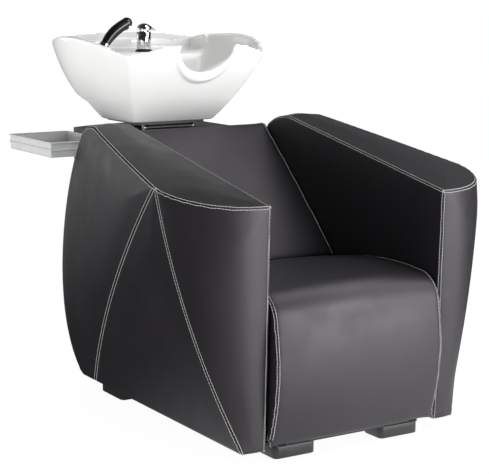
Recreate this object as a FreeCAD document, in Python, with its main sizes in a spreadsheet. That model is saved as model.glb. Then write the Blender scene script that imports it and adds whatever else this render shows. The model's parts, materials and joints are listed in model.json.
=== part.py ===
"""Backwash unit: an upholstered armchair with a tilting ceramic bowl behind its back.

Millimetres, +X to the right as seen from the front, +Y towards the back, +Z up; left and right are meant as
seen from the front. The origin lies on the floor, under the middle of the whole unit. Inside this file a
depth is counted from the line where the arms' front edges meet the floor side, and every piece is then
moved forward by centre_depth at the end.
"""
import FreeCAD
import Part
import Sketcher
import math
import os
import re

from FreeCAD import Placement, Rotation, Vector

SIZES = {
    # The seat well between the two arms, and the feet that lift the unit off the floor
    "well_half": 255.0,
    "foot_height": 31.0,
    "foot_corner": 14.0,
    "front_foot_reach": 219.0,
    "front_foot_width": 120.0,
    "front_foot_start": 15.0,
    "front_foot_depth": 77.0,
    "rear_foot_reach": 300.0,
    "rear_foot_width": 120.0,
    "rear_foot_start": 675.0,
    "rear_foot_depth": 131.0,
    # The steel base frame
    "side_tube_reach": 215.0,
    "side_tube_width": 30.0,
    "frame_tube_height": 25.0,
    "frame_start": 15.0,
    "frame_end": 940.0,
    "cross_tube_depth": 40.0,
    "middle_tube_start": 420.0,
    "rear_tube_depth": 75.0,
    # Fasteners
    "foot_screw_radius": 4.0,
    "foot_screw_head_radius": 7.0,
    "foot_screw_head": 5.0,
    "foot_screw_recess": 10.0,
    "foot_screw_bite": 18.0,
    "foot_screw_inset": 20.0,
    "bolt_radius": 4.0,
    "bolt_head_radius": 7.0,
    "bolt_head": 5.0,
    "bolt_bite": 10.0,
    "hole_clearance": 0.2,
    "overrun": 20.0,
    # Arms: slabs that swell to a peak on the top edge, where the three outer panels meet
    "arm_foot_width": 67.0,
    "arm_front_rake": 22.0,
    "arm_front_height": 631.0,
    "arm_rear_height": 765.0,
    "arm_straight_depth": 680.0,
    "arm_peak_width": 208.0,
    "arm_peak_depth": 162.0,
    "arm_peak_flat": 8.0,
    "arm_front_swell": 62.0,
    "arm_side_swell": 10.0,
    "arm_panel_foot": 800.0,
    "arm_tail_depth": 1010.0,
    "arm_tail_top_width": 40.0,
    "arm_tail_waist_width": 76.0,
    "arm_tail_foot_width": 68.0,
    "arm_waist_out": 18.0,
    "arm_waist_back": 20.0,
    "arm_waist_swell": 46.0,
    # The arms' rear edge from the shoulder down to the floor side
    "shoulder_depth": 745.0,
    "shoulder_height": 760.0,
    "nape_depth": 800.0,
    "nape_height": 737.0,
    "back_depth": 925.0,
    "back_height": 510.0,
    "rump_depth": 965.0,
    "rump_height": 330.0,
    "heel_depth": 948.0,
    "heel_height": 165.0,
    "toe_depth": 905.0,
    "toe_height": 62.0,
    "sole_depth": 880.0,
    # The plywood board inside each arm
    "board_cover": 30.0,
    "board_thickness": 18.0,
    "board_start": 60.0,
    "board_depth": 700.0,
    "board_height": 529.0,
    # Seat: plywood, rails and a cushion that runs over the front edge down to the feet
    "seat_gap": 8.0,
    "seat_pad_bottom": 335.0,
    "seat_depth": 430.0,
    "seat_rear_height": 402.0,
    "seat_top_height": 440.0,
    "seat_top_depth": 180.0,
    "seat_lip_depth": 36.0,
    "seat_lip_height": 433.0,
    "seat_nose_height": 345.0,
    "seat_nose": 39.0,
    "seat_corner": 16.0,
    "seat_corner_height": 411.0,
    "seat_bulge": 50.0,
    "seat_bulge_height": 215.0,
    "seat_toe": 14.0,
    "seat_toe_height": 48.0,
    "seat_crown": 12.0,
    "seat_draw": 9.0,
    "apron_back": 12.0,
    "front_board_thickness": 12.0,
    "front_board_inset": 2.0,
    "seat_board_thickness": 18.0,
    "rail_height": 30.0,
    "rail_depth": 40.0,
    "rail_wall": 3.0,
    "rail_flange": 4.0,
    "rail_flange_drop": 40.0,
    "front_rail_start": 70.0,
    "rear_rail_start": 370.0,
    # Backrest: plane of the cushion's front from the seat up to its top edge
    "rest_foot_depth": 437.0,
    "rest_foot_height": 407.0,
    "rest_top_depth": 806.0,
    "rest_top_height": 747.0,
    "rest_gap": 3.0,
    "rest_pad": 68.0,
    "rest_crown": 4.0,
    "rest_side_draw": 2.0,
    "rest_board_thickness": 15.0,
    "rest_rail_low": 70.0,
    "rest_rail_high": 390.0,
    "rest_rail_size": 30.0,
    # Rear cover of the plumbing
    "cover_half": 215.0,
    "cover_start": 868.0,
    "cover_top": 720.0,
    "cover_waist": 620.0,
    "cover_foot": 62.0,
    "cover_side_depth": 1140.0,
    "cover_rear": 1195.0,
    "cover_foot_side_depth": 895.0,
    "cover_foot_rear": 970.0,
    "cover_wall": 4.0,
    "cover_flange_top": 640.0,
    "cover_screw_radius": 2.5,
    "cover_screw_head_radius": 5.0,
    "cover_screw_head": 3.0,
    "cover_screw_low": 140.0,
    "cover_screw_high": 590.0,
    "batten_size": 30.0,
    # Column that carries the bowl
    "column_start": 872.0,
    "column_side": 60.0,
    "column_wall": 3.0,
    "column_base_half": 70.0,
    "column_base": 6.0,
    "column_bolt_reach": 50.0,
    "column_bolt_inset": 8.0,
    "column_head_half": 90.0,
    "column_head_depth": 108.0,
    "column_head": 8.0,
    "column_top": 700.0,
    # Tilting hinge under the bowl
    "hinge_set": 73.0,
    "hinge_height": 727.0,
    "yoke_base": 6.0,
    "yoke_depth": 60.0,
    "ear_start": 70.0,
    "ear_thickness": 8.0,
    "ear_radius": 10.0,
    "yoke_bolt_reach": 45.0,
    "yoke_bolt_spread": 20.0,
    "pin_radius": 6.0,
    "pin_head_radius": 9.0,
    "pin_head": 4.0,
    "pin_clearance": 0.04,
    "barrel_radius": 11.0,
    "barrel_gap": 0.6,
    "web_thickness": 16.0,
    "carrier_half": 105.0,
    "carrier_start": 917.0,
    "carrier_depth": 216.0,
    "carrier_thickness": 6.0,
    "carrier_pad": 3.0,
    "top_opening_margin": 12.0,
    # Ceramic bowl: four curved sides between a small foot and a wide waved rim
    "bowl_wall": 17.0,
    "bowl_floor": 20.0,
    "bowl_foot_half": 130.0,
    "bowl_foot_start": 911.0,
    "bowl_foot_end": 1148.0,
    "bowl_foot_swell": 5.0,
    "bowl_waist_rise": 103.0,
    "bowl_waist_front_half": 186.0,
    "bowl_waist_rear_half": 200.0,
    "bowl_waist_side": 224.0,
    "bowl_waist_start": 826.0,
    "bowl_waist_end": 1196.0,
    "bowl_waist_front": 780.0,
    "bowl_waist_rear": 1213.0,
    "bowl_top_rise": 263.0,
    "bowl_top_front_half": 246.0,
    "bowl_top_rear_half": 248.0,
    "bowl_top_side": 290.0,
    "bowl_top_start": 738.0,
    "bowl_top_end": 1228.0,
    "bowl_top_front": 676.0,
    "bowl_top_rear": 1254.0,
    "horn_depth": 706.0,
    "horn_height": 973.0,
    "front_dip_depth": 766.0,
    "front_dip_height": 947.0,
    "side_rise_depth": 985.0,
    "side_rise_height": 990.0,
    "rear_dip_depth": 1212.0,
    "rear_dip_height": 971.0,
    "rear_rise_depth": 1254.0,
    "rear_rise_height": 996.0,
    "notch_half": 88.0,
    "notch_shoulder": 956.0,
    "notch_floor": 897.0,
    "notch_end": 800.0,
    "cavity_foot_half": 104.0,
    "cavity_foot_start": 934.0,
    "cavity_end": 1084.0,
    "deck_drop": 72.0,
    "deck_thickness": 18.0,
    "deck_wall": 14.0,
    "service_half": 180.0,
    "service_start": 1112.0,
    "service_end": 1190.0,
    # Waste outlet
    "waste_set": 119.0,
    "waste_hole_radius": 32.0,
    "waste_radius": 31.5,
    "waste_bore": 26.0,
    "waste_flange_radius": 40.0,
    "waste_flange": 4.0,
    "waste_drop": 47.0,
    "clamp_hole_radius": 45.0,
    "waste_nut_radius": 52.0,
    "waste_nut": 12.0,
    "tail_radius": 20.0,
    "tail_bore": 17.0,
    "tail_drop": 60.0,
    "tail_cup_radius": 36.0,
    "tail_cup": 16.0,
    "tail_cup_floor": 5.0,
    "top_hole_radius": 64.0,
    "strainer_radius": 31.0,
    "strainer_plate": 3.0,
    "strainer_basket_radius": 24.0,
    "strainer_basket": 14.0,
    "strainer_basket_wall": 2.0,
    "strainer_slot_radius": 3.0,
    "strainer_slot_circle": 15.0,
    "strainer_knob_radius": 5.0,
    "strainer_knob": 9.0,
    # Mixer tap on the deck
    "tap_side": 30.0,
    "tap_depth": 1150.0,
    "tap_ring_radius": 26.0,
    "tap_ring": 5.0,
    "tap_radius": 22.0,
    "tap_height": 55.0,
    "tap_shank_radius": 16.0,
    "tap_shank": 50.0,
    "tap_hole_radius": 17.0,
    "tap_nut_radius": 26.0,
    "tap_nut": 12.0,
    "cartridge_radius": 17.0,
    "cartridge_depth": 36.0,
    "stem_gap": 0.4,
    "stem_radius": 15.0,
    "stem_plate": 3.0,
    "spindle_radius": 4.0,
    "spindle_depth": 12.0,
    "spindle_clearance": 0.05,
    "lug_width": 8.0,
    "lug_length": 12.0,
    "lug_rise": 10.0,
    "lever_pin_radius": 2.0,
    "lever_pin_clearance": 0.04,
    "lever_radius": 22.0,
    "lever_shell": 3.0,
    "lever_gap": 4.0,
    "lever_reach": 46.0,
    "lever_blade": 5.0,
    "lever_tip_half": 6.0,
    # Hand shower in its leaning socket
    "shower_side": 116.0,
    "shower_depth": 1150.0,
    "shower_lean": 30.0,
    "socket_ring_radius": 24.0,
    "socket_ring": 6.0,
    "socket_radius": 17.0,
    "socket_length": 18.0,
    "socket_floor": 5.0,
    "socket_start": 0.5,
    "socket_shank_radius": 14.0,
    "socket_shank": 40.0,
    "socket_hole_radius": 15.0,
    "socket_nut_radius": 23.0,
    "socket_nut": 10.0,
    "grip_radius": 12.5,
    "grip_length": 82.0,
    "grip_clearance": 0.4,
    "grip_bend": 26.0,
    "grip_turn": 100.0,
    "collar_radius": 16.0,
    "collar_length": 8.0,
    "head_radius": 16.0,
    "head_length": 10.0,
    "face_radius": 14.0,
    "face_plate": 3.0,
    "face_hole_radius": 1.2,
    "face_hole_circle": 8.0,
    # Tray on its bracket
    "tray_gap": 12.0,
    "tray_width": 183.0,
    "tray_start": 872.0,
    "tray_depth": 289.0,
    "tray_top": 708.0,
    "tray_height": 43.0,
    "tray_wall": 2.5,
    "tray_lip": 5.0,
    "tray_lip_thickness": 3.0,
    "tray_rib": 3.0,
    "tray_rib_drop": 22.0,
    "bracket_start": 935.0,
    "bracket_depth": 100.0,
    "bracket_thickness": 5.0,
    "bracket_reach": 165.0,
    "bracket_drop": 45.0,
    "bracket_screw_inset": 22.0,
    "bracket_screw_drop": 25.0,
}

# Sizes that follow from the ones above
DERIVED = {
    "hinge_depth": "column_start + hinge_set",
    "waste_depth": "bowl_foot_start + waste_set",
    "bowl_foot_level": "hinge_height + barrel_radius + carrier_thickness + carrier_pad",
    "deck_height": "bowl_foot_level + bowl_top_rise - deck_drop",
}

STRAINER_SLOTS = 6
FACE_HOLES = 8

doc = FreeCAD.newDocument("backwash_unit")
sheet = doc.addObject("Spreadsheet::Sheet", "sizes")
contents = {alias: repr(value) for alias, value in SIZES.items()}
contents.update({alias: f"={rule}" for alias, rule in DERIVED.items()})
for row, (alias, content) in enumerate(contents.items(), start=1):
    sheet.set(f"A{row}", alias)
    sheet.set(f"B{row}", content)
    sheet.setAlias(f"B{row}", alias)
doc.recompute()


class Sizes:
    """Reads a driving dimension from the sheet by its alias."""

    def __getattr__(self, alias):
        return float(sheet.get(alias))


S = Sizes()
nodes = {}


# Outlines and solids that follow curves

def line(start, end):
    """A straight edge."""
    return Part.LineSegment(start, end).toShape()


def arc(start, middle, end):
    """A circular edge through three points."""
    return Part.Arc(start, middle, end).toShape()


def ruled_solid(rings):
    """A closed solid whose straight-ruled faces join rings of edges given in the same order."""
    faces = [Part.Face(Part.Wire(rings[0])), Part.Face(Part.Wire(rings[-1]))]
    for lower, upper in zip(rings[:-1], rings[1:]):
        for low_edge, high_edge in zip(lower, upper):
            faces.append(Part.makeRuledSurface(low_edge, high_edge))
    solid = Part.makeSolid(Part.makeShell(Part.makeCompound(faces).Faces))
    if solid.Volume < 0:
        solid.reverse()
    return solid


def lofted_solid(rings):
    """A closed solid that passes smoothly through rings of edges."""
    return Part.makeLoft([Part.Wire(ring) for ring in rings], True, False)


def prism(edges, direction):
    """The closed outline of edges, drawn out along a vector."""
    return Part.Face(Part.Wire(edges)).extrude(direction)


def polygon(points):
    """Straight edges that close a loop of points."""
    return [line(a, b) for a, b in zip(points, points[1:] + points[:1])]


def bowl_ring(height, front_half, rear_half, side, start, end, front, rear):
    """Four arcs round the bowl at one height: front, one side, rear, other side."""
    middle = (start + end) / 2
    corners = [
        Vector(-front_half, start, height),
        Vector(front_half, start, height),
        Vector(rear_half, end, height),
        Vector(-rear_half, end, height),
    ]
    return [
        arc(corners[0], Vector(0, front, height), corners[1]),
        arc(corners[1], Vector(side, middle, height), corners[2]),
        arc(corners[2], Vector(0, rear, height), corners[3]),
        arc(corners[3], Vector(-side, middle, height), corners[0]),
    ]


def bowl_blank():
    """The bowl's outside, waved along its rim, before it is hollowed."""
    foot = S.bowl_foot_level
    swell = S.bowl_foot_swell
    outside = lofted_solid([
        bowl_ring(foot, S.bowl_foot_half, S.bowl_foot_half, S.bowl_foot_half + swell,
                  S.bowl_foot_start, S.bowl_foot_end, S.bowl_foot_start - swell, S.bowl_foot_end + swell),
        bowl_ring(foot + S.bowl_waist_rise, S.bowl_waist_front_half, S.bowl_waist_rear_half,
                  S.bowl_waist_side, S.bowl_waist_start, S.bowl_waist_end, S.bowl_waist_front,
                  S.bowl_waist_rear),
        bowl_ring(foot + S.bowl_top_rise, S.bowl_top_front_half, S.bowl_top_rear_half, S.bowl_top_side,
                  S.bowl_top_start, S.bowl_top_end, S.bowl_top_front, S.bowl_top_rear),
    ])
    reach = S.bowl_top_side + S.overrun
    low = foot - S.overrun
    near = S.bowl_top_front - S.overrun
    far = S.rear_rise_depth + S.overrun
    rim = [
        Vector(-reach, near, low),
        Vector(-reach, near, S.horn_height),
        Vector(-reach, S.horn_depth, S.horn_height),
        Vector(-reach, S.front_dip_depth, S.front_dip_height),
        Vector(-reach, S.side_rise_depth, S.side_rise_height),
        Vector(-reach, S.rear_dip_depth, S.rear_dip_height),
        Vector(-reach, S.rear_rise_depth, S.rear_rise_height),
        Vector(-reach, far, S.rear_rise_height),
        Vector(-reach, far, low),
    ]
    edges = [line(a, b) for a, b in zip(rim[:3], rim[1:4])]
    edges.append(arc(rim[3], rim[4], rim[5]))
    edges.extend(line(a, b) for a, b in zip(rim[5:], rim[6:] + rim[:1]))
    return outside.common(prism(edges, Vector(2 * reach, 0, 0)))


def bowl_hollow():
    """What is taken out of the bowl: basin, neck notch, tap deck and the open space below the deck."""
    foot = S.bowl_foot_level
    wall = S.bowl_wall
    floor = foot + S.bowl_floor
    waist = foot + S.bowl_waist_rise
    top = foot + S.bowl_top_rise + S.overrun
    swell = S.bowl_foot_swell
    basin = lofted_solid([
        bowl_ring(floor, S.cavity_foot_half, S.cavity_foot_half, S.cavity_foot_half + swell,
                  S.cavity_foot_start, S.cavity_end - wall, S.cavity_foot_start - swell,
                  S.cavity_end - wall + swell),
        bowl_ring(waist, S.bowl_waist_front_half - wall, S.bowl_waist_rear_half - wall,
                  S.bowl_waist_side - wall, S.bowl_waist_start + wall, S.cavity_end,
                  S.bowl_waist_front + wall, S.cavity_end + swell),
        bowl_ring(top, S.bowl_top_front_half - wall, S.bowl_top_rear_half - wall,
                  S.bowl_top_side - wall, S.bowl_top_start + wall, S.cavity_end + wall,
                  S.bowl_top_front + wall, S.cavity_end + wall + swell),
    ])
    half = S.bowl_waist_rear_half
    near = S.cavity_end - wall
    deck_end = S.bowl_waist_end - swell
    deck_rear = S.bowl_waist_rear + S.deck_wall - swell
    deck_points = [
        Vector(half + S.deck_wall, near, S.deck_height),
        Vector(half + S.deck_wall, deck_end, S.deck_height),
        Vector(0, deck_rear, S.deck_height),
        Vector(-half - S.deck_wall, deck_end, S.deck_height),
        Vector(-half - S.deck_wall, near, S.deck_height),
    ]
    deck = prism([
        line(deck_points[0], deck_points[1]),
        arc(deck_points[1], deck_points[2], deck_points[3]),
        line(deck_points[3], deck_points[4]),
        line(deck_points[4], deck_points[0]),
    ], Vector(0, 0, top - S.deck_height))
    near = S.bowl_top_front - S.overrun
    notch_points = [
        Vector(-S.notch_half, near, top),
        Vector(-S.notch_half, near, S.notch_shoulder),
        Vector(0, near, S.notch_floor),
        Vector(S.notch_half, near, S.notch_shoulder),
        Vector(S.notch_half, near, top),
    ]
    notch = prism([
        line(notch_points[0], notch_points[1]),
        arc(notch_points[1], notch_points[2], notch_points[3]),
        line(notch_points[3], notch_points[4]),
        line(notch_points[4], notch_points[0]),
    ], Vector(0, S.notch_end - near, 0))
    under = S.deck_height - S.deck_thickness
    service = Part.makeBox(2 * S.service_half, S.service_end - S.service_start, under - foot + S.overrun,
                           Vector(-S.service_half, S.service_start, foot - S.overrun))
    holes = [
        Part.makeCylinder(S.waste_hole_radius, S.bowl_floor + S.overrun,
                          Vector(0, S.waste_depth, foot - S.overrun / 2)),
        Part.makeCylinder(S.tap_hole_radius, S.deck_thickness + S.overrun,
                          Vector(S.tap_side, S.tap_depth, under - S.overrun / 2)),
        Part.makeCylinder(S.socket_hole_radius, S.deck_thickness + S.overrun,
                          Vector(-S.shower_side, S.shower_depth, under - S.overrun / 2)),
    ]
    return [basin, deck, notch, service] + holes


def seat_ring(side, crown, draw):
    """The seat cushion's section at one side distance: its top falls by crown, its front draws in by draw."""
    outline = [
        Vector(side, S.apron_back, S.seat_toe_height),
        Vector(side, -S.seat_toe + draw, S.seat_toe_height),
        Vector(side, -S.seat_bulge + draw, S.seat_bulge_height),
        Vector(side, -S.seat_nose + draw, S.seat_nose_height),
        Vector(side, -S.seat_corner + draw, S.seat_corner_height - crown),
        Vector(side, S.seat_lip_depth, S.seat_lip_height - crown),
        Vector(side, S.seat_top_depth, S.seat_top_height - crown),
        Vector(side, S.seat_depth, S.seat_rear_height - crown),
        Vector(side, S.seat_depth, S.seat_pad_bottom),
        Vector(side, S.apron_back, S.seat_pad_bottom),
    ]
    return [
        line(outline[0], outline[1]),
        arc(outline[1], outline[2], outline[3]),
        arc(outline[3], outline[4], outline[5]),
        arc(outline[5], outline[6], outline[7]),
        line(outline[7], outline[8]),
        line(outline[8], outline[9]),
        line(outline[9], outline[0]),
    ]


def seat_shape():
    """The seat cushion, crowned across the seat and drawn in at both sides."""
    half = S.well_half - S.seat_gap
    return lofted_solid([
        seat_ring(-half, S.seat_crown, S.seat_draw),
        seat_ring(0, 0, 0),
        seat_ring(half, S.seat_crown, S.seat_draw),
    ])


bowl_outside = bowl_blank()
seat_solid = seat_shape()
centre_depth = (bowl_outside.optimalBoundingBox(False).YMax + seat_solid.optimalBoundingBox(False).YMin) / 2
centre_row = len(contents) + 1
sheet.set(f"A{centre_row}", "centre_depth")
sheet.set(f"B{centre_row}", repr(centre_depth))
sheet.setAlias(f"B{centre_row}", "centre_depth")
doc.recompute()


# Document objects bound to the sheet

def bind(obj, prop, text):
    """Binds a property to an expression whose words are the sheet's aliases."""
    obj.setExpression(prop, re.sub(r"\b[a-z]\w*\b", r"sizes.\g<0>", text))


def place(obj, x, y, z):
    """Binds a piece's position, with depths counted from the arms' front line."""
    bind(obj, "Placement.Base.x", x)
    bind(obj, "Placement.Base.y", f"{y} - centre_depth")
    bind(obj, "Placement.Base.z", z)


def box(label, width, depth, height, x, y, z):
    """A block with its lowest corner at x, y, z."""
    obj = doc.addObject("Part::Box", label)
    bind(obj, "Length", width)
    bind(obj, "Width", depth)
    bind(obj, "Height", height)
    place(obj, x, y, z)
    return obj


def rod(label, radius, length, x, y, z, along="Z"):
    """A cylinder that starts at x, y, z and runs along X, Y or Z."""
    obj = doc.addObject("Part::Cylinder", label)
    turns = {"X": Rotation(Vector(0, 1, 0), 90), "Y": Rotation(Vector(1, 0, 0), -90), "Z": Rotation()}
    obj.Placement = Placement(Vector(), turns[along])
    bind(obj, "Radius", radius)
    bind(obj, "Height", length)
    place(obj, x, y, z)
    return obj


def fuse(label, *pieces):
    """Pieces that are made as one."""
    obj = doc.addObject("Part::MultiFuse", label)
    obj.Shapes = list(pieces)
    return obj


def cut(label, base, *tools):
    """A piece with others taken out of it."""
    obj = doc.addObject("Part::Cut", label)
    obj.Base = base
    obj.Tool = tools[0] if len(tools) == 1 else fuse(label + "_cuts", *tools)
    return obj


def group(label, *pieces):
    """Separate like pieces that share one node."""
    obj = doc.addObject("Part::Compound", label)
    obj.Links = list(pieces)
    return obj


def feature(label, shape):
    """A solid shaped by curves."""
    obj = doc.addObject("Part::Feature", label)
    obj.Shape = shape
    obj.Placement = Placement(Vector(0, -centre_depth, 0), Rotation())
    return obj


def keep(obj):
    """Marks a finished piece, whose label names its file."""
    nodes[obj.Label] = obj
    return obj


def rounded_block(label, width, depth, height, corner):
    """A block with rounded upright edges, padded from a sketched rectangle."""
    body = doc.addObject("PartDesign::Body", label)
    plane = next(item for item in body.Origin.OriginFeatures if item.Role == "XY_Plane")
    sketch = body.newObject("Sketcher::SketchObject", label + "_outline")
    sketch.AttachmentSupport = (plane, [""])
    sketch.MapMode = "FlatFace"
    unit = [Vector(0, 0, 0), Vector(1, 0, 0), Vector(1, 1, 0), Vector(0, 1, 0)]
    for start, end in zip(unit, unit[1:] + unit[:1]):
        sketch.addGeometry(Part.LineSegment(start, end), False)
    for side in range(4):
        sketch.addConstraint(Sketcher.Constraint("Coincident", side, 2, (side + 1) % 4, 1))
    for side in (0, 2):
        sketch.addConstraint(Sketcher.Constraint("Horizontal", side))
    for side in (1, 3):
        sketch.addConstraint(Sketcher.Constraint("Vertical", side))
    sketch.addConstraint(Sketcher.Constraint("Coincident", 0, 1, -1, 1))
    across = sketch.addConstraint(Sketcher.Constraint("DistanceX", 0, 1, 0, 2, 1))
    along = sketch.addConstraint(Sketcher.Constraint("DistanceY", 1, 1, 1, 2, 1))
    bind(sketch, f"Constraints[{across}]", width)
    bind(sketch, f"Constraints[{along}]", depth)
    pad = body.newObject("PartDesign::Pad", label + "_pad")
    pad.Profile = sketch
    bind(pad, "Length", height)
    doc.recompute()
    upright = [f"Edge{number}" for number, edge in enumerate(pad.Shape.Edges, start=1)
               if abs(edge.Vertexes[0].Z - edge.Vertexes[1].Z) > S.hole_clearance]
    fillet = body.newObject("PartDesign::Fillet", label + "_corners")
    fillet.Base = (pad, upright)
    bind(fillet, "Radius", corner)
    return body


SIDES = {"left": "-", "right": ""}


def mirrored_start(side, reach, width):
    """Lowest x of a piece that ends at reach on one side: left is -X, right is +X, seen from the front."""
    return f"-({reach})" if side == "left" else f"({reach}) - ({width})"


# Feet and base frame

def build_feet():
    """Four rounded blocks, each screwed up into a side tube of the frame."""
    screws = []
    tube_cuts = {side: [] for side in SIDES}
    for side, sign in SIDES.items():
        for end in ("front", "rear"):
            label = f"foot_{end}_{side}"
            width = f"{end}_foot_width"
            block = rounded_block(label + "_blank", width, f"{end}_foot_depth", "foot_height", "foot_corner")
            place(block, mirrored_start(side, f"{end}_foot_reach", width), f"{end}_foot_start", "0")
            x = f"{sign}(side_tube_reach - side_tube_width / 2)"
            tools = []
            for number, y in enumerate((f"{end}_foot_start + foot_screw_inset",
                                        f"{end}_foot_start + {end}_foot_depth - foot_screw_inset")):
                name = f"{label}_{number}"
                tools.append(rod(name + "_way", "foot_screw_radius + hole_clearance",
                                 "foot_height + overrun", x, y, "-overrun / 2"))
                tools.append(rod(name + "_recess", "foot_screw_head_radius + hole_clearance",
                                 "foot_screw_recess + overrun", x, y, "-overrun"))
                tube_cuts[side].append(rod(name + "_thread", "foot_screw_radius + hole_clearance",
                                           "frame_tube_height / 2 + overrun", x, y, "foot_height - overrun"))
                head = rod(name + "_head", "foot_screw_head_radius", "foot_screw_head", x, y,
                           "foot_screw_recess - foot_screw_head")
                shank = rod(name + "_shank", "foot_screw_radius",
                            "foot_height - foot_screw_recess + foot_screw_bite", x, y, "foot_screw_recess")
                screws.append(fuse(name + "_screw", head, shank))
            keep(cut(label, block, *tools))
    keep(group("foot_screws", *screws))
    return tube_cuts


def tube(label, width, depth, height, x, y, z, along):
    """A rectangular tube with the frame's wall, open at both ends along X or Y."""
    outside = box(label + "_outside", width, depth, height, x, y, z)
    if along == "Y":
        inside = box(label + "_inside", f"{width} - 2 * rail_wall", f"{depth} + 2 * overrun",
                     f"{height} - 2 * rail_wall", f"{x} + rail_wall", f"{y} - overrun", f"{z} + rail_wall")
    else:
        inside = box(label + "_inside", f"{width} + 2 * overrun", f"{depth} - 2 * rail_wall",
                     f"{height} - 2 * rail_wall", f"{x} - overrun", f"{y} + rail_wall", f"{z} + rail_wall")
    return outside, inside


def build_frame(tube_cuts):
    """Two side tubes joined by three cross tubes, the last of which carries the column."""
    for side in SIDES:
        outside, inside = tube(f"side_tube_{side}", "side_tube_width", "(frame_end - frame_start)",
                               "frame_tube_height", mirrored_start(side, "side_tube_reach", "side_tube_width"),
                               "frame_start", "foot_height", "Y")
        keep(cut(f"side_tube_{side}", outside, inside, *tube_cuts[side]))
    span = "2 * (side_tube_reach - side_tube_width)"
    start = "-(side_tube_reach - side_tube_width)"
    column_cuts = [rod(f"column_thread_{number}", "bolt_radius + hole_clearance", "frame_tube_height",
                       x, y, "foot_height + frame_tube_height / 2")
                   for number, (x, y) in enumerate(column_bolt_places())]
    rows = {
        "front": ("cross_tube_depth", "frame_start", []),
        "middle": ("cross_tube_depth", "middle_tube_start", []),
        "rear": ("rear_tube_depth", "frame_end - rear_tube_depth", column_cuts),
    }
    for name, (depth, y, cuts) in rows.items():
        outside, inside = tube(f"cross_tube_{name}", span, depth, "frame_tube_height", start, y,
                               "foot_height", "X")
        keep(cut(f"cross_tube_{name}", outside, inside, *cuts))


def column_bolt_places():
    """Places of the four bolts that hold the column's foot plate down."""
    return [(f"{sign}column_bolt_reach", y) for sign in SIDES.values()
            for y in ("frame_end - rear_tube_depth + column_bolt_inset", "frame_end - column_bolt_inset")]


# Arms

def arm_form():
    """The right arm: three bulging outer panels between a straight foot and a top that swells to a peak."""
    inner = S.well_half
    foot = inner + S.arm_foot_width
    peak = inner + S.arm_peak_width
    slope = (S.arm_rear_height - S.arm_front_height) / (S.arm_straight_depth + S.arm_front_rake)

    def on_top(place_on_plan):
        rise = slope * (place_on_plan.y + S.arm_front_rake)
        return Vector(place_on_plan.x, place_on_plan.y, S.arm_front_height + rise)

    def swollen(start, end, swell):
        along = end - start
        outward = Vector(along.y, -along.x, 0).normalize()
        return (start + end) / 2 + outward * swell

    low = S.foot_height
    front_in = Vector(inner, -S.arm_front_rake, 0)
    peak_front = Vector(peak, S.arm_peak_depth, 0)
    peak_rear = Vector(peak, S.arm_peak_depth + S.arm_peak_flat, 0)
    tail_out = Vector(inner + S.arm_tail_top_width, S.arm_tail_depth, 0)
    tail_in = Vector(inner, S.arm_tail_depth, 0)
    top = [
        arc(on_top(front_in), on_top(swollen(front_in, peak_front, S.arm_front_swell)), on_top(peak_front)),
        line(on_top(peak_front), on_top(peak_rear)),
        arc(on_top(peak_rear), on_top(swollen(peak_rear, tail_out, S.arm_side_swell)), on_top(tail_out)),
        line(on_top(tail_out), on_top(tail_in)),
        line(on_top(tail_in), on_top(front_in)),
    ]
    foot_in = Vector(inner, 0, low)
    foot_front = Vector(foot, 0, low)
    foot_rear = Vector(foot, S.arm_panel_foot, low)
    foot_tail = Vector(inner + S.arm_tail_foot_width, S.arm_tail_depth, low)
    bottom = polygon([foot_in, foot_front, foot_rear, foot_tail, Vector(inner, S.arm_tail_depth, low)])
    bulge = Vector(S.arm_waist_out, S.arm_waist_back, 0)
    waist_in = (foot_in + on_top(front_in)) / 2
    waist_front = (foot_front + on_top(peak_front)) / 2 + bulge
    waist_rear = (foot_rear + on_top(peak_rear)) / 2 + bulge
    tail_level = (low + on_top(tail_out).z) / 2
    waist_tail = Vector(inner + S.arm_tail_waist_width, S.arm_tail_depth, tail_level)
    waist_end = Vector(inner, S.arm_tail_depth, tail_level)
    waist = [
        arc(waist_in, swollen(waist_in, waist_front, S.arm_waist_swell), waist_front),
        line(waist_front, waist_rear),
        arc(waist_rear, swollen(waist_rear, waist_tail, S.arm_side_swell), waist_tail),
        line(waist_tail, waist_end),
        line(waist_end, waist_in),
    ]
    slab = lofted_solid([bottom, waist, top])
    near = inner - S.overrun
    front = -S.arm_front_rake - S.overrun
    high = S.arm_rear_height + S.overrun
    below = low - S.overrun
    sole = Vector(near, S.sole_depth, low)
    toe = Vector(near, S.toe_depth, S.toe_height)
    rump = Vector(near, S.rump_depth, S.rump_height)
    nape = Vector(near, S.nape_depth, S.nape_height)
    brow = Vector(near, S.arm_straight_depth, S.arm_rear_height)
    side_view = [
        line(Vector(near, front, below), Vector(near, S.sole_depth, below)),
        line(Vector(near, S.sole_depth, below), sole),
        line(sole, toe),
        arc(toe, Vector(near, S.heel_depth, S.heel_height), rump),
        arc(rump, Vector(near, S.back_depth, S.back_height), nape),
        arc(nape, Vector(near, S.shoulder_depth, S.shoulder_height), brow),
        line(brow, Vector(near, S.arm_straight_depth, high)),
        line(Vector(near, S.arm_straight_depth, high), Vector(near, front, high)),
        line(Vector(near, front, high), Vector(near, front, below)),
    ]
    return slab.common(prism(side_view, Vector(S.arm_peak_width + 2 * S.overrun, 0, 0)))


def rail_bolt_places():
    """Depth and height of the bolts that hold the seat rails' flanges to the arms."""
    height = "seat_pad_bottom - seat_board_thickness - rail_height - rail_flange_drop / 2"
    return [(f"{start} + rail_depth / 2", height) for start in ("front_rail_start", "rear_rail_start")]


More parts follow.
